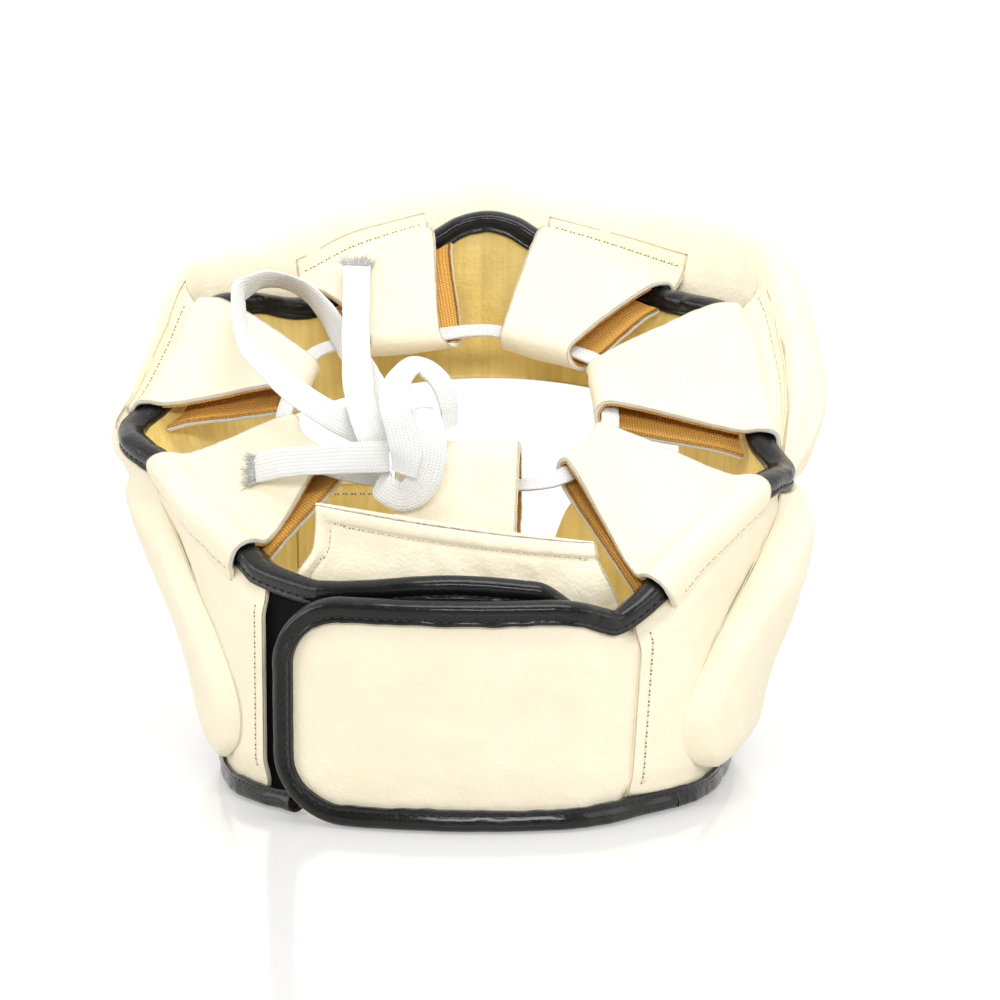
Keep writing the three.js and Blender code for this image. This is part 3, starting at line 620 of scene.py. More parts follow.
def lace_look(name, tone, dim):
    """Flat tubular braid: slanting strands that cross in a herringbone along the band, with painted shade in
    the grooves between them.
    """
    look = Look(name, Roughness=0.8, Sheen_Weight=0.25, Sheen_Roughness=0.5)
    flat = look.add("SeparateXYZ", {"Vector": look.spot(flat=True)})
    across, along = flat.outputs[0], flat.outputs[1]
    rib = look.times(across, UV_MM / LACE_RIB)
    lean = look.odd(look.math("FLOOR", rib))
    inside = look.math("FRACT", rib)
    slant = look.choose(lean, inside, look.math("SUBTRACT", 1.0, inside))
    strand = look.plus(look.times(along, UV_MM / LACE_STRAND), look.times(slant, 0.8))
    high = look.times(look.math("POWER", look.wave(strand), 0.6), look.math("POWER", look.wave(rib), 0.5))
    fibre = look.noise(look.spot(), 2200, 3, 0.65)
    # the grooves between strands get the dim colour: painted shade in the braid
    colour = look.blend(look.ramp(high, 0.0, 0.6), dim, tone)
    colour = look.blend(look.ramp(fibre, 0.3, 0.75, 0.0, 0.4), colour, dim)
    height = look.plus(look.times(high, 0.00028), look.times(fibre, 0.00006))
    return look.finish(Base_Color=colour, Normal=look.bump(height, 1.0))


def thread_look(name, tone, dim, gloss=0.6, shine=0.4):
    look = Look(name, Roughness=gloss, Specular_IOR_Level=shine)
    fibre = look.noise(look.spot(), 3000, 3, 0.6)
    colour = look.blend(look.ramp(fibre, 0.3, 0.7), tone, dim)
    return look.finish(Base_Color=colour, Normal=look.bump(fibre, 0.0001, 0.8))


CREAM = leather("cream_leather", (0.90, 0.82, 0.635), (0.875, 0.785, 0.585), (0.74, 0.72, 0.68), gloss=0.46,
                Specular_IOR_Level=0.4)
LINER = leather("lining_leather", (0.94, 0.745, 0.29), (0.90, 0.67, 0.21), (0.82, 0.68, 0.38), grain=1.3,
                gloss=0.55, wrinkle=1.5, streak=0.55, Specular_IOR_Level=0.3)
BLACK = leather("black_leather", (0.005, 0.005, 0.005), (0.009, 0.009, 0.0088), (0.03, 0.03, 0.03), grain=1.3,
                gloss=0.3, wrinkle=0.7, Specular_IOR_Level=0.16, Coat_Weight=0.4, Coat_Roughness=0.12)
# the third colour is painted shade in the gaps between threads, also used for darker fibres
OCHRE = woven("ochre_fabric", (0.98, 0.57, 0.15), (0.94, 0.50, 0.11), (0.58, 0.27, 0.035), 1.0)
# the second colour is painted shade in the braid's grooves, also used for darker fibres
LACE = lace_look("white_lace", (0.91, 0.905, 0.885), (0.74, 0.73, 0.70))
THREAD = thread_look("cream_thread", (0.88, 0.81, 0.62), (0.76, 0.68, 0.48))
BLACK_THREAD = thread_look("black_thread", (0.035, 0.035, 0.035), (0.01, 0.01, 0.01), 0.5)
# dark discs painted with the shade that would fall inside the needle holes
HOLE_SHADE = thread_look("needle_hole_shade", (0.27, 0.21, 0.12), (0.16, 0.12, 0.065), 0.9)
FELT = thread_look("fastener_fabric", (0.008, 0.008, 0.0085), (0.003, 0.003, 0.003), 0.95, 0.1)


# Lace: flat tubes along their routes, with frayed ends
def band_section(n=20):
    """Flattened oval with nearly flat faces, one wide and one thick."""
    t = np.linspace(0, 2 * math.pi, n, endpoint=False)
    c, s = np.cos(t), np.sin(t)
    return np.stack([np.sign(c) * np.abs(c) ** 0.55 / 2, np.sign(s) * np.abs(s) ** 0.75 / 2], -1)


def route(rows, steps):
    """Points, directions across and facing directions along a lace route."""
    rows = np.array(rows, float)
    t = shares(steps)
    p = catmull(rows[:, :3], t)
    turn = table(("step", "turn"), [(i, r[3]) for i, r in enumerate(rows)]).turn(t * (len(rows) - 1))
    along = unit(np.gradient(p, axis=0))
    facing = unit(REARWARD - along * (along @ REARWARD)[:, None])
    a = np.radians(turn)[:, None]
    normal = facing * np.cos(a) + np.cross(along, facing) * np.sin(a)
    return p, unit(np.cross(along, normal)), normal


def lace_mesh(p, across, normal, seed, wide=LACE_WIDTH, free=False):
    width = wide * (1 + 0.05 * rough(p, 9, seed, 2))
    thick = LACE_THICK * (1 + 0.08 * rough(p, 7, seed + 5, 2))
    if free:
        left = lengths(p)[-1] - lengths(p)
        thick = thick * mix(0.3, 1, ease(left / 5))
    unit_section = band_section()
    section = unit_section[None] * np.stack([width, thick], -1)[:, None]
    section[..., 1] += 0.45 * rough(p, 16, seed + 9, 2)[:, None] * (1 - (2 * unit_section[:, 0]) ** 2)[None]
    return sweep(p, across, normal, section)


def frayed(p, across, normal, count, length, seed):
    """Loose yarns that fan out of a cut lace end: thin curved ribbons, each three strips round."""
    rng = np.random.default_rng(seed)
    along = unit(p[-1] - p[-4])
    t = shares(6)[:, None]
    ring = np.array([(1, 0), (-0.5, 0.87), (-0.5, -0.87)])
    section = ring[None] * mix(0.17, 0.09, t[:, 0])[:, None, None]
    fibres = []
    for _ in range(count):
        x, y = rng.uniform(-0.5, 0.5), rng.uniform(-0.5, 0.5)
        start = p[-1] - along * 1.0 + across[-1] * x * LACE_WIDTH * 0.92 + normal[-1] * y * LACE_THICK * 0.7
        far = length * rng.uniform(0.35, 1.0)
        lean = across[-1] * (x * 0.55 + rng.normal(0, 0.16)) + normal[-1] * rng.normal(0, 0.14)
        bend = across[-1] * rng.normal(0, 0.25) + normal[-1] * rng.normal(0, 0.2)
        q = start + along * (t * (far + 1.0)) + lean * t * far + bend * t * t * far
        side = unit(np.cross(along, bend + 1e-6))
        face = unit(np.cross(side, along))
        fibres.append(sweep(q, np.repeat(side[None], len(t), 0), np.repeat(face[None], len(t), 0), section))
    return join(*fibres)


for seed, (name, rows) in enumerate(LACE_ROUTES.items()):
    p, across, normal = route(rows, LACE_STEPS * (len(rows) - 1) + 1)
    free = name in ("lace_end_up", "lace_end_left")
    piece = dress(name, lace_mesh(p, across, normal, 31 * seed, free=free), LACE, "white_lace")
    if free:
        yarns = frayed(p, across, normal, FRAY_YARNS, FRAY_LENGTH, seed)
        fringe = make(name + "_fray", yarns, LACE)
    line = (p + SHIFT) / 1000


def ring_point(angle):
    a, r = np.radians(angle), RING.radius(angle)
    return place(r * np.sin(a), r * np.cos(a), RING.height(angle))


angle = np.linspace(RING_START, RING_END, 420)
along = unit(ring_point(angle + 1) - ring_point(angle - 1))
tilt, plan = np.radians(RING.tilt(angle))[:, None], np.radians(angle)
outward = place(np.sin(plan), np.cos(plan), 0)
across = outward * np.cos(tilt) + np.array([0, 0, 1.0]) * np.sin(tilt)
across = unit(across - along * (across * along).sum(1, keepdims=True))
normal = unit(np.cross(along, across))
ring = lace_mesh(ring_point(angle) + across * RING_SEAT, across, normal, 400, LACE_GATHERED)
dress("crown_lace", ring, LACE, "white_lace")


# Stitching: short threads, with a dark disc of painted shade at each needle hole
def sew(p, n, pitch=3.6, share=0.62, radius=0.33, lift=0.12):
    """Stitches along a polyline of surface points with their normals; gives threads and the dark discs of
    painted shade at the needle holes.
    """
    s = lengths(p)

    def at(x):
        return (
            np.stack([np.interp(x, s, p[:, k]) for k in range(3)], -1),
            unit(np.stack([np.interp(x, s, n[:, k]) for k in range(3)], -1)),
        )

    count = int((s[-1] - pitch * 0.5) / pitch)
    steps, sides = 7, 6
    t = np.linspace(-0.5, 0.5, steps)
    turn = np.linspace(0, 2 * math.pi, sides, endpoint=False)
    circle = np.stack([np.cos(turn), np.sin(turn)], -1)
    ids = np.arange(sides)
    fan = np.stack([ids, np.roll(ids, -1), np.full(sides, sides), np.full(sides, sides)], -1)
    threads, hole_shades = [], []
    for k in range(count):
        middle = pitch * (k + 0.75)
        q, m = at(middle + t * pitch * share)
        along = unit(np.gradient(q, axis=0))
        side = unit(np.cross(along, m))
        height = lift - 0.75 * np.abs(2 * t) ** 4
        thick = radius * (1 - 0.25 * np.abs(2 * t) ** 3)
        threads.append(sweep(q + m * height[:, None], side, m, circle[None] * thick[:, None, None]))
        # a small dark disc at each end: painted shade of the needle hole, which is not cut into the leather
        for e in (0, -1):
            h = circle * radius * 1.25
            rim = q[e] + m[e] * 0.05 + side[e] * h[:, :1] + along[e] * h[:, 1:] * 1.25
            hub = q[e] + m[e] * 0.09
            hole_shades.append({"points": np.concatenate([rim, hub[None]]), "faces": fan,
                          "flat": np.zeros((sides + 1, 2)), "mark": np.zeros(sides + 1)})
    return join(*threads), join(*hole_shades)


cream_threads, black_threads, hole_shades = [], [], []


def sew_cream(p, n):
    a, b = sew(p, n)
    cream_threads.append(a)
    hole_shades.append(b)


# Inner lining and cheek linings
def lining_foot(angle):
    cheek = ease((np.abs(angle) - WING_FRONT + 4) / 4)
    return mix(BROW.height(angle), WING_FOOT, cheek)


angle = np.linspace(-WING_SEAM, WING_SEAM, 241)
a, v = lattice(angle, shares(48))
h = mix(RIM.height(a), lining_foot(a), v)
spot = place(a * DEGREE_MM, h, 0)
ripple = 0.35 * rough(spot, (7, 60, 1), 3, 2) + 0.5 * rough(spot, (30, 45, 1), 8, 2)
ripple *= np.minimum(1, 6 * np.minimum(v, 1 - v))
dress("inner_lining", solid(wall(a, h, LINING), wall(a, h, -ripple.clip(*RIPPLE))), LINER, "lining_leather")

for label, side in SIDES:
    u, v = lattice(shares(60), shares(50))
    a = mix(WING_FRONT - 4, CHEEK_FRONT, u)
    h = mix(CHEEK.top(a), CHEEK.foot(a), v)
    a = side * (a + (4 * (1 - h / BROW.height(WING_FRONT - 4)) - 0.1) * (1 - u))
    spot = place(a * DEGREE_MM, h, 0)
    ripple = 0.5 * rough(spot, (30, 45, 1), 9 + side, 2) * np.minimum(1, 6 * np.minimum(v, 1 - v))
    lining = solid(wall(a, h, LINING), wall(a, h, -ripple.clip(*RIPPLE)))
    dress(f"cheek_lining_{label}", lining, LINER, "lining_leather")
    a = np.linspace(side * (WING_FRONT - 6), side * (CHEEK_FRONT + 6), 60)
    line = wall(a, CHEEK.top(np.abs(a)) - 4, 0 * a)
    sew_cream(line, -level(line))


# Forehead pad
def forehead(angle, step):
    end = np.clip((PAD_END - np.abs(angle)) / PAD_ROUND, 0, 1)
    full_round = np.sqrt(1 - (1 - end) ** 2)
    lift = FOREHEAD.lift(angle) * full_round
    rim = RIM.height(angle)
    s = FOREHEAD_SECTION
    drop = (rim + lift - BROW.height(angle)) * s.drop(step)
    sink = s.sink(step) * rim_steep(angle)
    full = rim + lift * s.lift(step) - sink - drop
    groove = rim - s.sink(1) * rim_steep(angle)
    height = np.where(step < 1, full, mix(np.minimum(full, groove), full, full_round))
    swell = FOREHEAD.bulge(angle) * full_round * s.bulge(step)
    return wall(angle, height, SKIN_BACK + EDGE + swell + s.ledge(step) * full_round)


angle = PAD_END * np.sin(np.linspace(-math.pi / 2, math.pi / 2, 241))
step = np.linspace(0, FOREHEAD_STEPS, 97)
a, s = lattice(angle, step)
outer = forehead(a, s)
n = surface(outer)
n *= np.sign((n * outer * [1, 1, 0]).sum(-1, keepdims=True).mean())
spot = place(a * 1.9, s * 9, 0)
gather = bell(s, 3.4, 1.5) * rough(spot, (9, 40, 1), 21, 2)
gather += bell(s, 10.5, 1.2) * rough(spot, (11, 40, 1), 23, 2)
creases = 0.5 * rough(outer, 38, 25, 3)
pleats = ease((np.abs(a) - 80) / 8) * rough(place(s * 7, a * 0.5, 0), (7, 30, 1), 27, 3)
dents = bell(np.abs(a), 54, 9) * bell(s, 3.6, 1.0) * rough(spot, (5, 30, 1), 29, 2)
fade = ease((PAD_END - np.abs(a)) / 5) * ease((s - 2.2) / 1.5) * ease((12 - s) / 1.5)
outer = outer + n * ((0.9 * gather + creases + 1.3 * pleats + 1.2 * dents) * fade)[..., None]
inner = wall(a, mix(RIM.height(a), BROW.height(a), s / FOREHEAD_STEPS), SKIN_BACK)
dress("forehead_pad", solid(outer, inner), CREAM, "cream_leather")


# Wings
def wing_top(angle):
    side = np.abs(angle)
    t = ease((side - PAD_END - 0.2) / 3.8)
    brow = mix(CHEEK.top(side), BROW.height(angle) - 1.2, ease((side - WING_FRONT) / 4))
    return mix(brow, RIM.height(angle), t)


def wing_skin(angle, height):
    """How far the outside of a wing stands from the inner wall."""
    side = np.abs(angle)
    inset = np.minimum(wing_top(angle) - height, height - CHEEK.foot(side)) - 7
    thick = mix(EDGE, WING, ease(np.minimum(inset, (side - CHEEK_FRONT) * 1.5 - 3) / 9))
    along = ease((side - CHEEK_FRONT) / 12) * ease((WING_FRONT + 3 - side) / 8)
    thick = thick + CHEEK_SWELL * along * ease((inset - 1) / 18)
    # the right wing's rear edge laps over the closure, down to the binding
    lap = WING_LAP * ease((angle - 126) / 19) * ease((wing_top(angle) - height - 9) / 8)
    lap = lap * ease((height - 6) / 4)
    return SKIN_BACK + thick + lap


def wing_end(height, side):
    """Rear edge of a wing: it leans on the right, and lies further forward on the left."""
    return WING_SEAM + 2.2 * (1 - height / 72) if side > 0 else LEFT_WING_END + 0 * height


for label, side in SIDES:
    u, v = lattice(shares(170) ** 1.2, shares(60))
    a = side * mix(WING_SEAM, CHEEK_FRONT, u)
    h = mix(wing_top(a), CHEEK.foot(np.abs(a)), v)
    a = side * mix(wing_end(h, side), CHEEK_FRONT, u)
    h = mix(wing_top(a), CHEEK.foot(np.abs(a)), v)
    p = wall(a, h, 0)
    fade = np.minimum(1, 5 * np.minimum(v, 1 - v)) * np.minimum(1, 8 * np.minimum(u, 1 - u))
    skin = wing_skin(a, h) + fade * (0.5 * rough(p, 30, 40 + side, 3) + 0.25 * rough(p, 9, 44 + side, 2))
    # the right wing's lower corner goes in behind the binding
    skin = skin - 3.5 * ease((9 - h) / 7) * ease((a - 137) / 7)
    # the padding thins out under the sewn rear edge
    back = mix(SKIN_BACK, skin - WING_LIP, ease((np.abs(a) - wing_end(h, side) + 7) / 7))
    back = np.minimum(back, skin - 0.8)
    wing = dress(f"wing_{label}", solid(wall(a, h, skin), wall(a, h, back)), CREAM, "cream_leather")
    hs = np.linspace(66 if side > 0 else 72, 11, 60)
    seam = side * (wing_end(hs, side) - 2.2)
    line = wall(seam, hs, wing_skin(seam, hs))
    sew_cream(line, level(line))


# Ear pads
EAR_BACK = SKIN_BACK + WING + 1.4


def ear(side, bulge, u, v):
    h = mix(EAR_TOP, EAR_FOOT, v)
    a = side * mix(WING_FRONT + 4, EAR_SEAM.angle(h), u)
    # its top stays under the flange of the rim's binding
    h = np.minimum(h, RIM.height(a) - 8 - 3 * v)
    # the top of the pad runs smoothly into the wing
    soft = ease((h - 84) / 24)
    # it rises gently from its rear seam
    pu = 1 - np.abs(2 * u**1.25 - 1) ** 2.2
    pu = mix(np.sqrt(np.maximum(0, pu)), pu * pu * (3 - 2 * pu), soft)
    pv = np.sqrt(np.maximum(0, 1 - np.abs(2 * v - 1) ** 5))
    pv = mix(pv, pv**3, soft) * mix(1, 0.5, ease((82 - h) / 56))
    across = np.radians(EAR_SEAM.angle(h) - WING_FRONT - 4) * 100
    near = np.minimum(np.minimum(u, 1 - u) * across, np.minimum(v, 1 - v) * (EAR_TOP - EAR_FOOT))
    rise = np.clip(near / mix(12, 26, soft), 0, 1)
    rise = mix(np.sin(rise * math.pi / 2), ease(rise), soft)
    edge = mix(mix(0.5, -0.9, soft), EDGE + 1.4, rise)
    skin = EAR_BACK - 1.4 + edge
    return wall(a, h, skin + bulge * pu * pv), wall(a, h, np.minimum(EAR_BACK - 1.2, skin - 0.6)), near


for label, side in SIDES:
    s = (1 - np.cos(np.linspace(0, math.pi, 86))) / 2
    u, v = lattice(s, s)
    outer, inner, near = ear(side, EAR_BULGES[label], u, v)
    fade = (16 * u * (1 - u) * v * (1 - v)) ** 0.5
    spot = place(u * 70, v * 90, 0)
    gather = bell(near, 6, 5) * rough(spot, (5, 14, 1), 64 + side, 2) * ease(near / 3)
    swell = fade * 0.7 * rough(outer, 26, 60 + side, 3) + 0.35 * gather * (outer[..., 2] < 78)
    outer = outer + level(outer) * swell[..., None]
    # the lower part of the rear seam edge gets the greyer cut-edge colour: painted shade in the seam, not a
    # raw edge
    raw = 0.85 * (u > 0.999) * (v > 0.33) * (v < 0.95)
    piece = dress(f"ear_pad_{label}", solid(outer, inner, 4, 0.5, raw), CREAM, "cream_leather")


# Leather bindings: a roll over the edge and a flat stitched flange on both sides
def bind_section(half):
    """Section from the flange's tip over the roll, then mirrored: places (out, up) about the middle."""
    face = [(0.1, -6.0), (0.75, -6.15), (0.98, -5.7), (0.98, -5.0), (0.5, BIND_GROOVE), (0.75, -3.8),
            (1.2, -3.0), (1.5, -1.9), (1.45, -0.6), (1.0, 0.55)]
    half = np.asarray(half, float)[..., None]
    rows = [np.concatenate([half + o, 0 * half + u], -1) for o, u in face]
    rows += [np.concatenate([half * k, 0 * half + u], -1) for k, u in ((0.62, 1.55), (0.25, 1.97))]
    rows += [r * [-1, 1] for r in rows[::-1]]
    return np.stack(rows, -2)


def bind(centre, out, up, half, crimp, seed):
    """Sweeps the binding along an edge; crimp is how much the leather gathers at each step."""
    n = len(centre)
    section = bind_section(half)
    m = section.shape[1]
    s = lengths(centre)
    spot = place(s[:, None], 0.8 * np.arange(m)[None], 0)
    crimp = np.broadcast_to(crimp, n)[:, None]
    puff = 0.3 * rough(spot, (6.5, 12, 1), seed, 2) * (0.25 + crimp * 1.6)
    roll = np.clip((section[..., 1] + 4.2) / 3, 0, 1)
    high_up = section[..., 1] > -3.6
    section[..., 0] *= 1 + puff * roll * 0.26
    section[..., 1] = np.where(high_up, np.minimum(section[..., 1] + puff * roll * 0.5, 2.0), section[..., 1])
    # the flange's edge wanders a little, as hand-cut leather does
    tip = section[..., 1] < -4.9
    section[..., 1] += tip * 0.3 * rough(place(s, 0, 0), 9, seed + 5, 2)[:, None]
    return sweep(centre, out, up, section)


def bind_run(name, frames, crimp, seed, steps):
    """One binding along places given as (middle, out, up, half width), smoothed into one run."""
    mid, out, up, half = (np.concatenate([f[k] for f in frames]) for k in range(4))
    t = shares(steps)
    mid, out, up = catmull(mid, t), unit(catmull(out, t)), catmull(up, t)
    half = np.interp(t, shares(len(half)), half)
    up = unit(up - out * (up * out).sum(1, keepdims=True))
    dress(name, bind(mid, out, up, half, crimp(mid), seed), BLACK, "black_leather")
    groove = mid + out * (half + 0.5)[:, None] + up * BIND_GROOVE
    black_threads.append(sew(groove, out, pitch=3.4, share=0.66, radius=0.3, lift=0.25)[0])


BIND_MID = (SKIN_BACK + EDGE + BIND_FLANGE - LAYER_GAP) / 2
BIND_HALF = (SKIN_BACK + EDGE + BIND_FLANGE + LAYER_GAP) / 2


def rim_frames(angle):
    base = beside_rim(angle, 0, 0)
    out = unit(beside_rim(angle, 1, 0) - base)
    up = unit(beside_rim(angle, 0, 1) - base)
    return beside_rim(angle, BIND_MID, 0), out, up, np.full(len(angle), BIND_HALF)


def foot_frames(angle):
    base = wall(angle, WING_FOOT + 0 * angle)
    out = level(base)
    up = np.repeat([[0, 0, -1.0]], len(angle), 0)
    return base + out * BIND_MID, out, up, np.full(len(angle), BIND_HALF)


def rim_crimp(p):
    turn = np.degrees(np.arctan2(p[:, 0], p[:, 1]))
    return sum(size * bell(turn, middle, width) for size, middle, width in RIM_GATHERS)


bind_run("crown_binding", [rim_frames(np.linspace(-131, 134, 300))], rim_crimp, 70, 760)
left, right = -np.linspace(WING_SEAM + 4, FOOT_BIND_END, 72), np.linspace(136.5, FOOT_BIND_END, 66)
bind_run("foot_binding_left", [foot_frames(left)], lambda p: 0.35, 79, 300)
bind_run("foot_binding_right", [foot_frames(right)], lambda p: 0.35, 81, 300)


# Rear closure
def closure_span(x):
    dx = np.clip(x - CLOSURE_LEFT, 0, CLOSURE_CORNER)
    inset = CLOSURE_CORNER - np.sqrt(CLOSURE_CORNER**2 - (CLOSURE_CORNER - dx) ** 2)
    dip = CLOSURE_DIP * bell(x, 58, 12)
    return CLOSURE_FOOT + inset, CLOSURE_TOP - dip - inset


def closure_ramp(x):
    """How far the closure sinks towards its sewn end, under the edge of the wing."""
    return CLOSURE_SINK * ease((x - 38) / 26)


x, v = lattice(mix(CLOSURE_LEFT, CLOSURE_RIGHT, shares(150) ** 1.5), shares(64))
low, high = closure_span(x)
h = mix(high - 0.7, low + 0.7, v)
near = np.minimum(np.minimum(high - h, h - low), (x - CLOSURE_LEFT) * 0.9)
spot = place(x, 0, h)
crown = ease((near - 4.5) / 16)
crown = crown + ease((near - 5) / 8) * (0.28 * rough(spot, 34, 90, 3) + 0.12 * rough(spot, 8, 95, 2))
# the corners of the sewn end tuck in behind the binding
tuck = CLOSURE_TUCK * ease((x - 56) / 7) * (1 - ease((np.minimum(high - h, h - low) - 5) / 7))
outer = back_point(x + 0.7, CLOSURE_LEATHER - 0.6 + crown - closure_ramp(x) - tuck, h)
inner = back_point(x + 0.7, 0 * x - closure_ramp(x) * 0.8 - tuck, h)
dress("closure_flap", solid(outer, inner), CREAM, "cream_leather")


def closure_edge(s):
    """Edge of the flap at the shares s: along the top, round the left end and back along the foot."""
    r = CLOSURE_CORNER
    top = CLOSURE_RIGHT - CLOSURE_LEFT - r
    arc = r * math.pi / 2
    side = CLOSURE_TOP - CLOSURE_FOOT - 2 * r
    d = np.asarray(s) * (2 * top + 2 * arc + side)
    cx = CLOSURE_LEFT + r
    x0 = CLOSURE_RIGHT - d
    t1 = (d - top) / r
    t2 = (d - top - arc - side) / r
    part = [d < top, d < top + arc, d < top + arc + side, d < top + 2 * arc + side]
    xs = [x0, cx - r * np.sin(t1), CLOSURE_LEFT + 0 * d, cx - r * np.cos(t2)]
    zs = [closure_span(x0)[1], CLOSURE_TOP - r * (1 - np.cos(t1)), CLOSURE_TOP - r - (d - top - arc),
          CLOSURE_FOOT + r * (1 - np.sin(t2))]
    return np.select(part, xs, cx + d - top - 2 * arc - side), np.select(part, zs, CLOSURE_FOOT + 0 * d)


def back_frame(x, z, base):
    """Path, outward and edgeward directions along an edge drawn on the closure curve."""
    dx, dz = np.gradient(x), np.gradient(z)
    run = np.hypot(dx, dz)
    centre = back_point(x, base, z)
    out = unit(back_point(x, base + 1, z) - centre)
    sx, sz = 0.5 * dz / run, 0.5 * dx / run
    up = unit(back_point(x + sx, base, z - sz) - back_point(x - sx, base, z + sz))
    return centre, out, up


x, z = closure_edge(shares(620))
middle, out, up = back_frame(x, z, CLOSURE_LEATHER / 2 - 0.85 * closure_ramp(x))
mine = np.flatnonzero(((x < 57) & (z > 40)) | ((x < 55) & (z < 40)))[::8]
# the flap's binding runs on: up over the wing's corner into the rim, and below into the foot
frames = [
    rim_frames(np.array([130.0, 133, 136, 139, 141.5])),
    (middle[mine], out[mine], up[mine], np.full(len(mine), 3.1)),
    foot_frames(np.array([141.5, 139, 136.5, 134])),
]
bind_run("closure_binding", frames, lambda p: 0.9 * bell(p[:, 0], 56, 12) * (p[:, 2] > 40) + 0.12, 100, 780)


# Hook patch under the flap, loop panel and tab
def patch(name, x0, x1, z0, z1, out, sink=0.0):
    x, z = lattice(np.linspace(x0, x1, 100), np.linspace(z1, z0, 70))
    base = out - sink * tab_ramp(x)
    face = back_point(x, base + PATCH - 0.2 + 0.22 * rough(place(x, 0, z), 2.6, 110, 3), z)
    dress(name, solid(face, back_point(x, base, z)), FELT, "fastener_fabric")


def tab_ramp(x):
    """How far the tab and its panel sink at the left, under the edge of the wing."""
    return TAB_SINK * ease((-44 - x) / 26)


def tab_top(x):
    return TAB_TOP + 4.5 * bell(x, 2, 34) - 10 * ease((x - 30) / 22)


patch("hook_patch", -36, 36, 14, 66, -GAP - PATCH)
patch("loop_panel", -71, 42, 4, 76, TAB_OUT + GAP, 1.0)
x, v = lattice(np.linspace(TAB_LEFT - 14, TAB_RIGHT, 110), shares(40))
h = mix(tab_top(x), WING_FOOT, v)
outer = back_point(x, TAB_OUT - tab_ramp(x), h)
inner = back_point(x, TAB_OUT - TAB - 0.5 * tab_ramp(x), h)
dress("loop_tab", solid(outer, inner), CREAM, "cream_leather")
x = np.linspace(TAB_RIGHT, -48, 40)
middle, out, up = back_frame(x, tab_top(x), TAB_OUT - TAB / 2 - 0.8 * tab_ramp(x))
frames = [(middle, out, up, np.full(len(x), 2.5)), rim_frames(-np.array([141.5, 138, 135, 132, 129]))]
bind_run("tab_binding", frames, lambda p: 0.12, 120, 380)

# Back tongue: soft panel with a rolled hem
TONGUE_OUT = TAB_OUT - TAB - BIND_LEATHER - 2 * GAP - 0.6
u, v = lattice(shares(110), shares(96) ** 1.2)
top = mix(*TONGUE_TOP, u)
h = mix(top, TONGUE_FOOT, v)
left = TONGUE_LEFT - 6 * ease((92 - h) / 12)
right = TONGUE_RIGHT + TONGUE_SPREAD * ease((94 - h) / 26)
x = mix(left, right, u)
down = top - h
puff = np.sin(math.pi * np.clip(u, 0.02, 0.98)) ** 0.5 * (0.55 + 0.45 * np.cos(v * 5))
lean = 5 * ease((h - 76) / 26)
hem = np.minimum(down, x - left)
roll = 1.1 * np.sqrt(np.clip(1 - ((hem - 2.6) / 2.6) ** 2, 0, 1)) - 0.7 * bell(hem, TONGUE_STITCH, 0.7)
pull = bell(hem, 9.5, 5.5) * (0.45 * rough(place(x, 0, h * 0.3), (4.5, 1, 12), 130, 2))
folds = 0.5 * ease((hem - 6) / 8) * rough(place(x + 0.5 * h, 0, h), (18, 1, 14), 134, 2)
bend = 4 * ease((x - 50) / 14)
base = TONGUE_OUT - lean - bend - 1.0
outer = back_point(x, base + roll + (pull + folds) * ease((1 - u) / 0.06), h)
inner = back_point(x, TONGUE_OUT - lean - bend - 2.6 - 3.4 * puff, h)
dress("back_tongue", solid(outer, inner, 4, 0.6), CREAM, "cream_leather")
# stitches along its upper hem, then down its left one
rows = np.flatnonzero((down[6] > 6) & (h[6] > 70))
upper = [outer[i, int(np.argmin(np.abs(down[i] - TONGUE_STITCH)))] for i in range(6, len(u) - 2)]
lower = [outer[int(np.argmin(np.abs((x - left)[:, j] - TONGUE_STITCH))), j] for j in rows]
for line in (upper, lower):
    sew_cream(np.array(line), np.repeat([[0, -1.0, 0]], len(line), 0))


# Crown straps
def strap_hem(angle, hem):
    clear = STRAP_SKIN / 4 + 0.05
    if hem is None:
        return [beside_rim(angle, o, up) for o, up in ((6.9, -12), (7.7, -9), (9.0, -5.6))]
    out = []
    for step in (hem, hem - 0.4):
        du = forehead(angle + 1, step + 0 * angle) - forehead(angle - 1, step + 0 * angle)
        dv = forehead(angle, step + 0.3 + 0 * angle) - forehead(angle, step - 0.3 + 0 * angle)
        n = unit(np.cross(du, dv))
        n *= np.sign(n[:, 2:])
        out.append(forehead(angle, step + 0 * angle) + n * clear)
    return out


def fold_points(start, centre, end):
    toward = unit(unit(centre - start) + unit(centre - end))
    across = start - end
    across = unit(across - toward * (across * toward).sum(-1, keepdims=True))
    turns = np.radians([80, 40, 0, -40, -80])
    return [centre + FOLD_RADIUS * (toward * math.cos(t) + across * math.sin(t)) for t in turns]


def strap_controls(name, u):
    if name == "centre":
        x = mix(CENTRE_STRAP_HALF, -CENTRE_STRAP_HALF, u)
        rows = np.broadcast_to(CENTRE_STRAP, (len(u), *CENTRE_STRAP.shape))
        return np.concatenate([np.broadcast_to(x[:, None, None], (*rows.shape[:2], 1)), rows], -1)
    rim, ring, hem = STRAPS[name]
    angle = mix(rim[0], rim[1], u)
    over = [beside_rim(angle, o, up) for o, up in ((9.0, 0.6), (6.4, 3.1), (2.2, CREST), (-4.4, CREST - 0.8))]
    at = mix(rim[0], rim[1], mix(0.05 if name == "front_right" else -0.08, 1.08, u))
    foot, knot = beside_rim(at, -2.6, -FLAP_TUCK), ring_point(mix(ring[0], ring[1], u))
    above = foot + 7 * unit(knot - foot)
    rows = [*strap_hem(angle, hem), *over, *fold_points(over[3], knot, above), above, foot]
    return np.stack(rows, axis=1)


def strap_grid(name, across=33, along=140, dense=700):
    """Middle surface of a strap, evenly stepped along it, and the shares of its steps."""
    controls = strap_controls(name, shares(across))
    s = spans(catmull(controls, shares(dense)))[0, :, 1]
    t = np.interp(np.linspace(0, s[-1], along), s, shares(dense))
    return catmull(controls, t), t


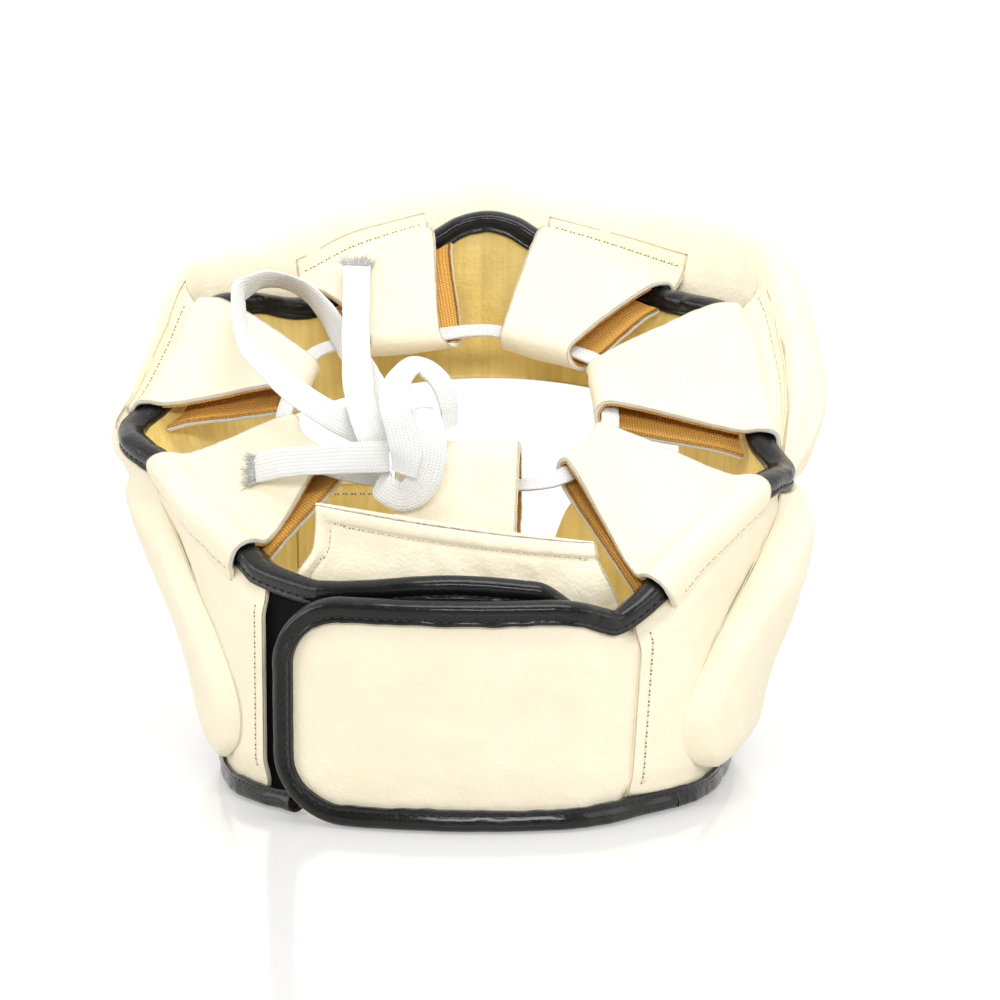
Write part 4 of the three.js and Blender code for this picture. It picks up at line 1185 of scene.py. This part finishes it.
for k, name in enumerate([*STRAPS, "centre"]):
    grid, t = strap_grid(name)
    flap = name != "centre"
    # the outer face of the leather is the one away from the fabric
    n = -surface(grid)
    flat = spans(grid)
    s = flat[..., 1]
    edge = np.minimum(flat[..., 0], flat[-1, 0, 0] - flat[..., 0])
    swell = 0.3 * rough(grid, 24, 150 + k, 3) + 0.12 * rough(grid, 7, 160 + k, 2)
    hem = bell(s, 2.2, 3.2) * 0.22 * rough(place(flat[..., 0], s * 0.2, 0), (6, 9, 1), 170 + k, 2)
    sunk = -0.22 * bell(s, STRAP_STITCH, 0.9)
    pulls = 0.35 * bell(s, 12, 7) * rough(place(flat[..., 0], s * 0.15, 0), (7, 9, 1), 180 + k, 2)
    if not flap:
        hem, sunk, pulls = 0 * s, 0 * s, 0 * s
    mid = grid + n * (swell + hem + sunk + pulls)[..., None]
    ragged = 0.16 * rough(mid, 3.0, 190 + k, 3) * bell(edge, 0, 1.2)
    lateral = unit(np.gradient(mid, axis=0)) * np.sign(flat[..., :1] - flat[-1, 0, 0] / 2)
    mid = mid + lateral * ragged[..., None]
    thick = STRAP_SKIN * mix(0.5, 1, ease(s / 5)) if flap else STRAP_SKIN + 0 * s
    skin = shell(mid, thick, raw=1.0 * (edge < 0.01) * (s > 7))
    dress(f"strap_{name}", skin, CREAM, "cream_leather")
    start = int(np.searchsorted(t, 0.4 if flap else 0.12))
    depth = STRAP_SKIN / 2 + 0.1 + FLAP_FABRIC / 2
    cloth = (mid + n * -depth)[:, start:]
    weave = shell(cloth, np.full(cloth.shape[:2], FLAP_FABRIC), 3)
    dress(f"strap_{name}_fabric", weave, OCHRE, "ochre_fabric")
    if flap:
        j = int(np.argmin(np.abs(s[0] - STRAP_STITCH)))
        sew_cream(mid[1:-1, j] + n[1:-1, j] * STRAP_SKIN / 2, n[1:-1, j])

make("stitching_cream", join(*cream_threads), THREAD)
make("stitching_black", join(*black_threads), BLACK_THREAD)
make("needle_hole_shade", join(*hole_shades), HOLE_SHADE)


# Stage and light
def plane(name, size, material):
    me = bpy.data.meshes.new(name)
    s = size / 2
    me.from_pydata([(-s, -s, 0), (s, -s, 0), (s, s, 0), (-s, s, 0)], [], [(0, 1, 2, 3)])
    me.materials.append(material)
    floor = bpy.data.objects.new(name, me)
    bpy.context.collection.objects.link(floor)


# a lit white table, faintly glossy
ground = Look("floor", Roughness=0.12, Specular_IOR_Level=0.5, Emission_Strength=0.36)
ground.shader.inputs["Base Color"].default_value = (0.46, 0.458, 0.452, 1)
ground.shader.inputs["Emission Color"].default_value = (1, 1, 0.99, 1)
plane("floor", FLOOR_SIZE, ground.material)


def softbox(name, spot, width, height, power):
    data = bpy.data.lights.new(name, "AREA")
    data.shape = "RECTANGLE"
    data.size, data.size_y = width, height
    data.energy = power
    light = bpy.data.objects.new(name, data)
    bpy.context.collection.objects.link(light)
    light.location = spot
    light.rotation_mode = "QUATERNION"
    light.rotation_quaternion = (Vector(LIGHT_TARGET) - Vector(spot)).to_track_quat("-Z", "Y")


softbox("top", (0.1, -0.3, 1.5), 1.2, 0.5, 10.5)
softbox("rear", (0.3, -1.8, 1.0), 1.4, 0.25, 19)
softbox("left", (-1.6, -0.5, 0.7), 1.0, 1.0, 9.5)
softbox("right", (1.6, -0.5, 0.7), 1.0, 1.0, 6.5)

# white studio, dimmer on the side that the rear of the headgear faces
world = bpy.data.worlds.new("studio")
world.use_nodes = True
nodes, links = world.node_tree.nodes, world.node_tree.links
where = nodes.new("ShaderNodeSeparateXYZ")
links.new(nodes.new("ShaderNodeTexCoord").outputs["Generated"], where.inputs[0])
fall = nodes.new("ShaderNodeMapRange")
for key, value in (("From Min", -0.6), ("From Max", 0.25), ("To Min", 0.2), ("To Max", 1.06)):
    fall.inputs[key].default_value = value
links.new(where.outputs["Y"], fall.inputs["Value"])
links.new(fall.outputs["Result"], nodes["Background"].inputs["Strength"])
nodes["Background"].inputs["Color"].default_value = (1, 1, 0.995, 1)
scene = bpy.context.scene
scene.world = world
scene.view_settings.view_transform = "Standard"
